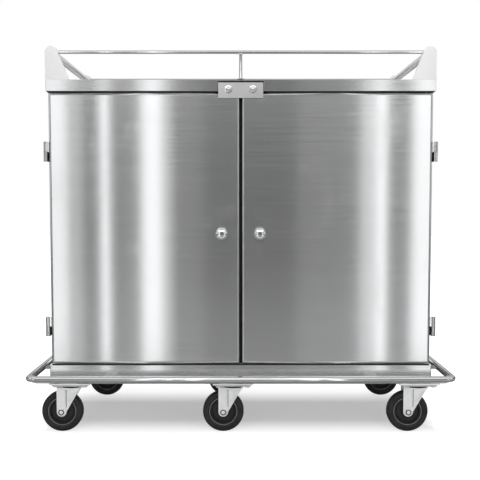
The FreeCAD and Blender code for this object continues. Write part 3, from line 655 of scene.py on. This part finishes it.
def softbox(name, at, target, size, radiance):
    """A rectangular lamp that only the object sees."""
    lamp = bpy.data.lights.new(name, "AREA")
    lamp.shape = "RECTANGLE"
    lamp.size, lamp.size_y = size
    lamp.energy = radiance * size[0] * size[1] * math.pi
    item = placed(name, lamp)
    item.location = at
    toward = Vector(target) - Vector(at)
    item.rotation_euler = toward.to_track_quat("-Z", "Y").to_euler()
    item.visible_camera = False
    return item


# Pieces

class CART_OT_stage(bpy.types.Operator):
    """Set the floor, the backdrop, the lights, the room and the camera"""
    bl_idname = "cart.stage"
    bl_label = "Stage"

    def execute(self, context):
        stage = settings()[2]
        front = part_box("top_panel")[0].y
        self.floor()
        self.room(stage.surround, stage.glare)
        self.lamps(front, stage.distance)
        camera_data = bpy.data.cameras.new("camera")
        camera_data.lens = stage.lens
        camera_data.sensor_width = 36
        camera_data.shift_y = stage.rise
        camera = placed("camera", camera_data)
        camera.location = (-stage.aside, front - stage.distance, stage.height)
        camera.rotation_euler = (math.pi / 2 - stage.pitch, 0, 0)
        context.scene.camera = camera
        context.scene.view_settings.view_transform = "Standard"
        return {"FINISHED"}

    def floor(self):
        """A wide pale floor that keeps the cart's shadow."""
        half_width = 16.0
        work = bmesh.new()
        bmesh.ops.create_grid(work, x_segments=4, y_segments=4, size=half_width)
        mesh = meshed(work, "floor")
        finish = Finish("pale_floor")
        spread = finish.spread
        seen = finish.node("ShaderNodeLightPath").outputs
        gloss = Value(finish, seen["Is Glossy Ray"])
        parts = finish.node("ShaderNodeSeparateXYZ", {}, {0: finish.place}).outputs
        across, along = (Value(finish, parts[axis]) for axis in "XY")
        # Distances from a block that stands in the middle of the cart's footprint
        aside, ahead = across.size() - 0.56, along.size() - 0.13
        outside = aside.most(ahead)
        # Gloss meets a dimmer floor beside the cart and far out, and a dark one behind it: painted shade that only
        # reflections see
        close = spread(outside, 0.22, 0.28) * (1 - spread(outside, 0.46, 0.52))
        dimmer = gloss * spread(outside, 0.72, 0.95).most(close)
        paler = gloss * spread(outside, 1.2, 1.5)
        behind = gloss * spread(along, 0.3, 0.45)
        shade = finish.blend(finish.noise((3, 3, 3), 2.0), grey(0.59), grey(0.61))
        for factor, level in ((dimmer, 0.22), (paler, 0.32), (behind, 0.12)):
            shade = finish.blend(factor, shade, grey(level))
        diffuse = finish.node("ShaderNodeBsdfDiffuse", {}, {"Color": shade})
        # Beyond the cart's own shadow the floor keeps its paleness by glowing more; over the cart's footprint it
        # glows less, a painted shadow that deepens the cast one
        near = spread((aside * 2.5).most(ahead), 0.0, 0.17)
        far = spread(outside, 0.4, 2.6)
        pale = Value(finish, seen["Is Camera Ray"]) * (0.39 + near * 0.42 + far * 0.19)
        # Gloss meets a bright stretch in front, between the dimmer ones: a painted glow that only reflections see
        stretch = spread(outside, 0.5, 0.56) * (1 - spread(outside, 0.7, 0.84))
        lit = gloss * (1 - spread(along, 0.0, 0.2)) * stretch * 0.3
        glow = finish.node("ShaderNodeEmission", {}, {"Color": grey(1), "Strength": pale + lit})
        both = finish.node("ShaderNodeAddShader", {}, {
            0: diffuse.outputs[0], 1: glow.outputs[0]})
        finish.node("ShaderNodeOutputMaterial", {}, {"Surface": both.outputs[0]})
        mesh.materials.append(finish.material)
        placed("floor", mesh)

    def room(self, surround, glare):
        """Seen as white, and met by every surface as a grey room, lighter overhead."""
        world = bpy.data.worlds.new("room")
        world.use_nodes = True
        bpy.context.scene.world = world
        tree = Tree(world.node_tree)
        spread = tree.spread
        seen = tree.node("ShaderNodeLightPath").outputs
        toward = tree.node("ShaderNodeTexCoord").outputs["Generated"]
        parts = tree.node("ShaderNodeSeparateXYZ", {}, {0: toward}).outputs
        across, along, height = (Value(tree, parts[axis]) for axis in "XYZ")
        above = height.clamped()
        # Gloss also meets bright ends, a bright ceiling and bright corners behind the cart
        level = 1 - (1 - spread(along.size(), 0.1, 0.35)) * 0.75
        ends = spread(across.size(), 0.86, 0.94) * level * 2.0
        ceiling = (spread(above, 0.32, 0.56) * (1 - spread(along, -0.15, 0.4) * 0.6)
                   * (1 - spread(above, 0.75, 0.92) * 0.6))
        corners = spread(along, 0.25, 0.5) * spread(across.size(), 0.25, 0.45) * 0.5
        gloss = Value(tree, seen["Is Glossy Ray"]) * ends.most(ceiling).most(corners)
        soft = tree.node("ShaderNodeBackground", {}, {
            "Color": grey(1), "Strength": (surround + above * surround) + gloss * glare})
        white = tree.node("ShaderNodeBackground", {}, {"Color": grey(1), "Strength": 1.0})
        mix = tree.node("ShaderNodeMixShader", {}, {
            0: seen["Is Camera Ray"], 1: soft.outputs[0], 2: white.outputs[0]})
        tree.node("ShaderNodeOutputWorld", {}, {"Surface": mix.outputs[0]})

    def lamps(self, front, distance):
        """Softboxes overhead and in front, strips that the doors mirror, and side lamps."""
        overhead = softbox("overhead", (0, -0.2, 6.0), (0, -0.2, 0), (1.5, 0.9), 42)
        kicker = softbox("kicker", (0, -3.2, 0.7), (0, -0.3, 0.1), (4.0, 0.5), 5)
        for lamp in (overhead, kicker):
            lamp.visible_glossy = False
        softbox("front_top", (0, -3.9, 3.0), (0, -0.3, 0.6), (4.2, 1.5), 1.2)
        ahead, tall = 0.9, 1.9
        # A strip this far ahead of the doors is wider than it shows in them
        widened = (distance + ahead) / distance
        for number, (start, end, radiance) in enumerate(STRIPS):
            middle = (start + end) / 2 * widened
            softbox(f"strip_{number}", (middle, front - ahead, tall / 2), (middle, 0, tall / 2),
                    ((end - start) * widened, tall), radiance)
        level, tall = 1.2, 2.2
        for side in SIDES.values():
            for name, at, target, wide, radiance in (
                    ("side", (side * 2.6, 0.1), (0, 0.1), 0.45, 0.3),
                    ("back", (side * 0.3, 2.6), (side * 0.3, 0), 0.45, 0.9),
                    ("flank", (side * 1.05, 2.6), (side * 1.05, 0), 0.4, 0.5)):
                softbox(f"{name}_{side}", (*at, level), (*target, level), (wide, tall), radiance)


class CART_OT_shell(bpy.types.Operator):
    """Finish the cabinet's sheets, its base and what lies inside it"""
    bl_idname = "cart.shell"
    bl_label = "Cabinet shell"

    def execute(self, context):
        detail = settings()[1]
        softened("top_panel", "lid_sheet", detail.fold, 3)
        softened("floor_pan", "lid_sheet", detail.edge / 2)
        softened("centre_partition", "side_sheet", detail.edge / 2)
        for name in SIDES:
            softened(f"side_panel_{name}", "side_sheet", detail.edge / 2)
            softened(f"tray_ledges_{name}", "side_sheet", detail.edge / 3)
        for node, finish in (("base_frame", "front_sheet"), ("back_panel", "front_sheet"),
                             ("cross_channels", "zinc"), ("caster_pads", "zinc"),
                             ("magnetic_catches", "magnet")):
            softened(node, finish, detail.edge)
        self.gasket_and_gap_shade_strips(detail.gasket)
        self.rivets(detail.rivet)
        self.seam(detail.gasket)
        return {"FINISHED"}

    def rivets(self, radius):
        """Rows of pop rivets that hold the back and the sides to their frames."""
        heads = row_of_heads(FINISHES["plate"])
        low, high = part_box("back_panel")
        side_low, side_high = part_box("side_panel_right")
        inset, flat = 0.014, 0.4
        count_up, count_side, count_back = 11, 7, 13
        foot, top = side_low.z + inset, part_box("top_panel")[0].z - inset
        reach = side_high.y - side_low.y - 2 * inset
        width = 2 * high.x - 8 * inset
        rows = []
        for side in SIDES.values():
            rows.append(heads.grown(
                Count=count_up, Start=(side * (high.x - inset), high.y, foot),
                Step=(0, 0, (top - foot) / (count_up - 1)), Radius=radius, Squash=(1, flat, 1)))
            rows.append(heads.grown(
                Count=count_side, Start=(side * side_high.x, side_low.y + inset, foot),
                Step=(0, reach / (count_side - 1), 0), Radius=radius, Squash=(flat, 1, 1)))
        rows.append(heads.grown(
            Count=count_back, Start=(-width / 2, high.y, foot),
            Step=(width / (count_back - 1), 0, 0), Radius=radius, Squash=(1, flat, 1)))
        piece("panel_rivets", merged(rows), "plate", "cabinet", crease=60)

    def seam(self, half):
        """A dark sealed joint between the base and the sides and back, and at its corners."""
        low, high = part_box("base_frame")
        proud, sunk, corner, margin = 0.0003, 0.001, 0.0016, 0.002
        joint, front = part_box("floor_pan")[0].z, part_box("side_panel_right")[0].y
        under, over = joint - half, joint + half
        strips = [slab((low.x, high.y - sunk, under), (high.x, high.y + proud, over))]
        for side in SIDES.values():
            strips.append(slab((side * (high.x - sunk), front, under),
                               (side * (high.x + proud), high.y + proud, over)))
            strips.append(slab((side * (high.x - corner), low.y - proud, low.z + margin),
                               (side * high.x, low.y + sunk, high.z - margin)))
        piece("base_seam", merged(strips), "rubber", "cabinet")

    def gasket_and_gap_shade_strips(self, thickness):
        """Thin dark rubber strips on the cabinet's front edges, and in the gaps round the doors; their darkness is
        partly painted shade for those gaps.
        """
        wall, gap, deep, lap = 0.002, 0.0012, 0.006, 0.004
        edge_inset, edge_width, catch_room = 0.0005, 0.02, 0.012
        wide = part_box("side_panel_right")[1].x
        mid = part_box("centre_partition")[1].x
        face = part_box("top_panel")[0].y + wall
        lid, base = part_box("top_panel")[0].z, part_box("floor_pan")[0].z
        door_low, door_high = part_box("door_right_skin")
        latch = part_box("latch_hinge_bracket")[1].x + wall
        behind = door_high.y + 0.001
        front = behind - thickness
        strips = [slab((-mid, front, base + wall), (mid, behind, lid - catch_room))]
        for side in SIDES.values():
            strips.append(slab((side * (wide - edge_inset), front, base + wall),
                               (side * (wide - edge_width), behind, lid)))
            strips.append(slab((side * (wide - wall), face, door_high.z + gap),
                               (side * latch, face + deep, lid + lap)))
        strips.append(slab((-door_high.x + wall, face, base),
                           (door_high.x - wall, face + deep, door_low.z - gap)))
        # The dark strips are gaskets, and also painted shade in the door gaps
        item = piece("door_gasket_and_gap_shade_strips", merged(strips), "rubber", "cabinet")
        bevel(item, thickness * 0.3, 2)


class CART_OT_doors(bpy.types.Operator):
    """Finish both door pans and their liners"""
    bl_idname = "cart.doors"
    bl_label = "Doors"

    def execute(self, context):
        detail = settings()[1]
        for name in SIDES:
            node = f"door_{name}_skin"
            low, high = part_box(node)
            wall = high.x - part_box(f"door_{name}_liner")[1].x
            evened(piece(f"{node}_folded", pan(low, high, detail.door_fold, wall),
                         "front_sheet", f"door_{name}", [node], 40))
            softened(f"door_{name}_liner", "front_sheet", detail.edge / 2)
        return {"FINISHED"}


class CART_OT_knobs(bpy.types.Operator):
    """Turn the two round chrome pulls"""
    bl_idname = "cart.knobs"
    bl_label = "Knobs"

    def execute(self, context):
        for name in SIDES:
            node = f"door_{name}_knob"
            low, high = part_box(node)
            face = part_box(f"door_{name}_skin")[0].y
            radius = (high.x - low.x) / 2
            reach = face - low.y
            centre = Vector(((low.x + high.x) / 2, face, (low.z + high.z) / 2))
            neck, crown = radius * 0.4, reach * 0.6
            profile = [(0.0, -0.002), (radius * 0.64, -0.0002), (radius * 0.66, 0.0006),
                       (radius * 0.64, 0.0016), (radius * 0.5, 0.0028), (neck, 0.005),
                       (neck * 0.94, reach * 0.34), (neck * 1.15, reach * 0.5)]
            # The head is fuller than a ball, and flatter below its widest place
            start, steps, fullness, flatter = math.radians(-52), 20, 0.72, 0.55
            for step in range(steps):
                angle = start + (math.pi / 2 - start) * step / steps
                rise = math.sin(angle) * (1.0 if angle > 0 else flatter)
                profile.append((radius * math.cos(angle) ** fullness,
                                crown + (reach - crown) * rise))
            profile.append((0.0, reach))
            piece(f"{node}_turned", moved(lathe(profile, 96), aim(-Y_AXIS, centre)), "chrome",
                  f"door_{name}", [node], 60)
        return {"FINISHED"}


class CART_OT_latch(bpy.types.Operator):
    """Finish the latch flap, its bracket and its two dome nuts"""
    bl_idname = "cart.latch"
    bl_label = "Latch"

    def execute(self, context):
        detail = settings()[1]
        softened("latch_flap", "latch", detail.edge * 1.4, 3)
        # The hinge bracket is nearly black: painted shade in the notch round the flap
        softened("latch_hinge_bracket", "dark", detail.edge / 2)
        low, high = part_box("latch_cap_nuts")
        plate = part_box("latch_flap")[0].y
        radius = (high.z - low.z) / 2
        middle = (low.z + high.z) / 2
        proud = plate - low.y
        shank, shank_end = radius * 0.25, -0.0066
        dome, base = radius * 0.7, proud * 0.42
        profile = [(0.0, shank_end), (shank, shank_end), (shank, -0.0005),
                   (radius * 0.97, 0.0), (radius, 0.0004), (radius * 0.97, 0.0011),
                   (radius * 0.8, 0.0015), (dome * 0.98, 0.0016), (dome, base)]
        steps = 12
        for step in range(1, steps):
            angle = math.pi / 2 * step / steps
            profile.append((dome * math.cos(angle), base + (proud - base) * math.sin(angle)))
        profile.append((0.0, proud))
        nuts = []
        for x in (low.x + radius, high.x - radius):
            place = aim(-Y_AXIS, (x, plate, middle))
            nuts.append(moved(lathe(profile, 64), place))
            nuts.append(moved(hexagon(radius * 0.86, base, 0.0008), place))
            nuts.append(moved(hexagon(radius * 0.55, 0.0038, 0.0004),
                              aim(Y_AXIS, (x, plate + 0.003, middle))))
        piece("latch_dome_nuts", merged(nuts), "chrome", "latch", ["latch_cap_nuts"], 35)
        return {"FINISHED"}


class CART_OT_hinges(bpy.types.Operator):
    """Finish the door hinges and drive their screws"""
    bl_idname = "cart.hinges"
    bl_label = "Hinges"

    def execute(self, context):
        detail = settings()[1]
        softened("hinge_frame_leaves", "hinge", detail.edge)
        softened("hinge_pins", "hinge", detail.edge)
        for name in SIDES:
            softened(f"door_{name}_hinge_leaves", "hinge", detail.edge)
        low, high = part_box("hinge_frame_leaves")
        leaf, inset = 0.0025, 0.022
        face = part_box("side_panel_right")[1].x + leaf
        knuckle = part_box("hinge_pins")[1].z - high.z
        heads = row_of_heads(FINISHES["hinge"])
        screws = []
        for side in SIDES.values():
            for bottom in (low.z, high.z - knuckle):
                screws.append(heads.grown(
                    Count=2, Start=(side * face, high.y - inset, bottom + knuckle * 0.28),
                    Step=(0, 0, knuckle * 0.46), Radius=detail.screw, Squash=(0.4, 1, 1)))
        piece("hinge_screws", merged(screws), "hinge", "cabinet")
        return {"FINISHED"}


class CART_OT_bumper(bpy.types.Operator):
    """Sweep the bumper tube and soften its brackets"""
    bl_idname = "cart.bumper"
    bl_label = "Bumper"

    def execute(self, context):
        low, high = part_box("bumper_rail")
        tube, bend = (high.z - low.z) / 2, 0.028
        mesh = swept_loop(FINISHES["tube"]).grown(
            Length=high.x - low.x - 2 * tube, Width=high.y - low.y - 2 * tube, Bend=bend,
            Tube=tube)
        moved(mesh, Matrix.Translation((low + high) / 2))
        piece("bumper_tube", mesh, "tube", "cabinet", ["bumper_rail"], 60)
        # The brackets take the darkened plate, painted shade under the bumper tube
        softened("bumper_brackets", "bracket", settings()[1].edge)
        return {"FINISHED"}


class CART_OT_guard(bpy.types.Operator):
    """Finish the corner ears, and turn the rails, rods and posts"""
    bl_idname = "cart.guard"
    bl_label = "Top guard"

    def execute(self, context):
        detail = settings()[1]
        drops = ring_of_balls(FINISHES["plate"])
        beads = []

        def weld(count, radius, place):
            beads.append(moved(drops.grown(Count=count, Radius=radius, Ball=detail.bead), place))

        rail_low, rail_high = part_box("side_rail_left")
        level = (rail_low.z + rail_high.z) / 2
        for end in ("front", "rear"):
            softened(f"corner_ears_{end}", "plate", detail.edge, 3)
            node = f"guard_rod_{end}"
            low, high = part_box(node)
            across = (low.y + high.y) / 2
            rod = high.z - level
            half = (high.x - low.x) / 2
            bar = moved(lathe([(0.0, -half), (rod, -half), (rod, half), (0.0, half)], 32),
                        aim(X_AXIS, (0, across, level)))
            # A post with a round foot, and a small fillet where it stands on it
            foot, tall = (high.y - low.y) / 2, level - low.z
            thick, under, over, fillet = 0.003, 0.0006, 0.0008, 0.0016
            post = lathe([(0.0, 0.0), (foot - under, 0.0), (foot, under), (foot, thick - over),
                          (foot - over, thick), (rod + fillet, thick),
                          (rod + fillet / 4, thick + under), (rod, thick + fillet),
                          (rod, tall), (0.0, tall)], 32)
            moved(post, Matrix.Translation((0, across, low.z)))
            piece(f"{node}_bar", merged([bar, post]), "rod", "cabinet", [node], 40)
            weld(18, rod, Matrix.Translation((0, across, level - rod)))
            for side in SIDES.values():
                weld(18, rod, aim(X_AXIS, (side * half, across, level)))
        for name in SIDES:
            node = f"side_rail_{name}"
            low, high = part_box(node)
            radius, wall = (high.z - low.z) / 2, 0.0015
            half = (high.y - low.y) / 2
            profile = [(radius, -half), (radius, half), (radius - wall, half),
                       (radius - wall, -half)]
            centre = (low + high) / 2
            mesh = moved(lathe(profile, 48, True), aim(Y_AXIS, centre))
            piece(f"{node}_tube", mesh, "rod", "cabinet", [node], 40)
            for side in (-1, 1):
                weld(34, radius, aim(Y_AXIS, centre + Y_AXIS * side * half))
        piece("guard_welds", merged(beads), "plate", "cabinet", crease=60)
        return {"FINISHED"}


class CART_OT_casters(bpy.types.Operator):
    """Finish the six casters: plates, bearings, forks, axles and wheels"""
    bl_idname = "cart.casters"
    bl_label = "Casters"

    def execute(self, context):
        detail = settings()[1]
        # The top plates take the darkened zinc, painted shade under the bumper
        softened("caster_top_plates", "dull", detail.edge)
        softened("caster_bolts", "zinc", detail.edge / 2)
        balls = ring_of_balls(FINISHES["ball"])
        for caster in CASTERS:
            softened(f"caster_fork_{caster}", "zinc", detail.edge, 2, 40)
            softened(f"caster_axle_{caster}", "zinc", detail.edge)
            self.bearing(caster, balls, detail)
            self.cheeks(caster)
            self.insert_shadow_rings(caster)
            self.wheel(caster)
        return {"FINISHED"}

    def bearing(self, caster, balls, detail):
        """A ring of balls under the top plate, and the dark dust cap over them: a real cap, and also painted shade
        for the gap between the races.
        """
        swivel = f"swivel_{caster}"
        pin = Vector(JOINTS[swivel]["pos_m"])
        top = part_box(f"caster_fork_{caster}")[1].z
        race = balls.grown(Count=detail.balls, Radius=0.0295, Ball=detail.ball)
        moved(race, Matrix.Translation((pin.x, pin.y, top - 0.0008)))
        piece(f"caster_balls_{caster}", race, "ball", swivel, crease=60)
        # The dark cap is partly painted shade, standing in for the gap between the races
        inner, outer, under, over, chamfer = 0.0302, 0.0334, 0.0028, 0.0026, 0.0012
        cap = lathe([(inner, -under), (inner, over), (outer - chamfer, over),
                     (outer, over - chamfer), (outer, -under)], 72, True)
        moved(cap, Matrix.Translation((pin.x, pin.y, top - 0.003)))
        piece(f"caster_cap_and_gap_shade_{caster}", cap, "rubber", swivel, crease=40)

    def cheeks(self, caster):
        """The pressed bulge on each leg of the fork, with a dark strip beside its rib: a painted shadow in the
        crease.
        """
        pin = Vector(JOINTS[f"swivel_{caster}"]["pos_m"])
        axle = Vector(JOINTS[f"roll_{caster}"]["pos_m"])
        ahead = Vector((pin.x - axle.x, pin.y - axle.y, 0))
        turn = ahead.to_track_quat("X", "Z").to_matrix().to_4x4()
        place = Matrix.Translation((pin.x, pin.y, 0)) @ turn
        # The leg's face, its eye round the axle, and how far its edge leans for each rise
        face, eye, lean = 0.0235, 0.015, 0.576
        crease, crease_sunk, crease_proud = 0.0016, 0.001, 0.0002
        steps, swell, sunk, edge_inset = 10, 0.0024, 0.0003, 0.002
        back = eye - ahead.length
        start = back + crease / 2
        low = axle.z + 0.032
        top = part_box(f"caster_fork_{caster}")[1].z - 0.0125
        cheeks, crease_shadows = [], []
        for side in (-1, 1):
            work = bmesh.new()
            grid = []
            for row in range(steps + 1):
                height = low + (top - low) * row / steps
                edge = back + (height - axle.z) * lean - edge_inset
                rise = swell * math.sin(math.pi * row / steps) ** 0.35
                grid.append([work.verts.new((
                    start + (edge - start) * column / steps,
                    side * (face - sunk + rise * math.sin(math.pi * column / steps) ** 0.8),
                    height)) for column in range(steps + 1)])
            skin(work, grid, False)
            bmesh.ops.contextual_create(work, geom=[e for e in work.edges if e.is_boundary])
            bmesh.ops.recalc_face_normals(work, faces=work.faces)
            cheeks.append(meshed(work, "cheek"))
            # A dark strip along the crease: painted shadow
            crease_shadows.append(slab((start - crease, side * (face - crease_sunk), axle.z + eye),
                                (start - 0.0001, side * (face + crease_proud), top)))
        swivel = f"swivel_{caster}"
        piece(f"caster_cheeks_{caster}", moved(merged(cheeks), place), "zinc", swivel, crease=60)
        piece(f"caster_crease_shadows_{caster}", moved(merged(crease_shadows), place), "rubber", swivel)

    def insert_shadow_rings(self, caster):
        """The dark ring in the face of each axle nut: a black nylon insert, and also a painted shadow for the line
        round the head.
        """
        node = f"caster_axle_{caster}"
        low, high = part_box(node)
        inner, outer, sunk, rim, crown = 0.006, 0.009, -0.0004, 0.0003, 0.0005
        profile = [(inner, sunk), (inner, rim), (inner + 0.0004, crown),
                   (outer - 0.0004, crown), (outer, rim), (outer, sunk)]
        rings = ring_pair(profile, 40, (low + high) / 2, (high.y - low.y) / 2)
        piece(f"caster_nut_insert_shadow_rings_{caster}", rings, "rubber", body_of(node), crease=40)

    def wheel(self, caster):
        """The tyre, with rounded shoulders, round its core."""
        body, node = f"wheel_{caster}", f"caster_tyre_{caster}"
        centre = Vector(JOINTS[f"roll_{caster}"]["pos_m"])
        low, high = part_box(node)
        radius = (high.z - low.z) / 2
        half = (high.y - low.y) / 2
        core_low, core_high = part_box(f"caster_core_{caster}")
        rim = (core_high.z - core_low.z) / 2
        shoulder, steps = 0.0075, 8
        upper = [(rim, half - 0.003), (rim + 0.0012, half - 0.0012), (rim + 0.003, half),
                 (radius - shoulder - 0.003, half), (radius - shoulder - 0.002, half - 0.0006)]
        for step in range(steps + 1):
            angle = math.pi / 2 * step / steps
            upper.append((radius - shoulder + shoulder * math.sin(angle),
                          half - shoulder + shoulder * math.cos(angle)))
        mesh = moved(lathe(doubled(upper), 96, True), aim(Y_AXIS, centre))
        piece(f"{node}_moulded", mesh, "rubber", body, [node], 50)
        self.core(caster, body, centre, rim)

    def core(self, caster, body, centre, rim):
        """Disc with a rim lip, a groove, a dished web and a boss, and a lighter band round its rim that is a
        painted highlight.
        """
        bore, boss, boss_half, chamfer = 0.0061, 0.015, 0.0195, 0.001
        lip, web, groove = 0.0125, 0.0058, 0.0085
        side = [(bore, boss_half), (boss - chamfer, boss_half), (boss, boss_half - chamfer),
                (boss + 0.001, web + 0.003), (boss + 0.004, web), (rim - 0.011, web),
                (rim - 0.0085, lip - 0.001), (rim - 0.0078, lip), (rim - 0.0062, lip),
                (rim - 0.0056, groove), (rim - 0.0034, groove), (rim - 0.0028, lip),
                (rim - 0.0004, lip), (rim, lip - 0.0006)]
        mesh = moved(lathe(doubled(side), 96, True), aim(Y_AXIS, centre))
        node = f"caster_core_{caster}"
        piece(f"{node}_moulded", mesh, "core", body, [node], 35)
        # The lighter band is a painted highlight, for the light that the rim's rounded edge catches
        inner, outer, round_off = rim - 0.0026, rim - 0.0002, 0.0006
        sunk, shoulder, crown = lip - 0.002, lip + 0.0014, lip + 0.0021
        band = [(inner, sunk), (inner, shoulder), (inner + round_off, crown),
                (outer - round_off, crown), (outer, shoulder), (outer, sunk)]
        piece(f"caster_band_{caster}", ring_pair(band, 96, centre), "band", body, crease=60)


class CART_PT_panel(bpy.types.Panel):
    """Lists the cart's pieces and settings"""
    bl_label = "Meal tray cart"
    bl_idname = "CART_PT_panel"
    bl_space_type = "VIEW_3D"
    bl_region_type = "UI"
    bl_category = "Tray Cart"

    def draw(self, context):
        for group in settings():
            for name in group.__annotations__:
                self.layout.prop(group, name)
        for operator in OPERATORS:
            self.layout.operator(operator.bl_idname)


SETTINGS = {
    "cart_finish": CartFinishSettings,
    "cart_detail": CartDetailSettings,
    "cart_stage": CartStageSettings,
}
OPERATORS = (CART_OT_stage, CART_OT_shell, CART_OT_doors, CART_OT_knobs, CART_OT_latch,
             CART_OT_hinges, CART_OT_bumper, CART_OT_guard, CART_OT_casters)
CLASSES = (*SETTINGS.values(), *OPERATORS, CART_PT_panel)


def register():
    for item in CLASSES:
        bpy.utils.register_class(item)
    for name, group in SETTINGS.items():
        setattr(bpy.types.Scene, name, bpy.props.PointerProperty(type=group))


def unregister():
    for name in SETTINGS:
        delattr(bpy.types.Scene, name)
    for item in reversed(CLASSES):
        bpy.utils.unregister_class(item)


def main():
    register()
    make_finishes()
    for operator in OPERATORS:
        family, action = operator.bl_idname.split(".")
        getattr(getattr(bpy.ops, family), action)()


if __name__ == "__main__":
    main()
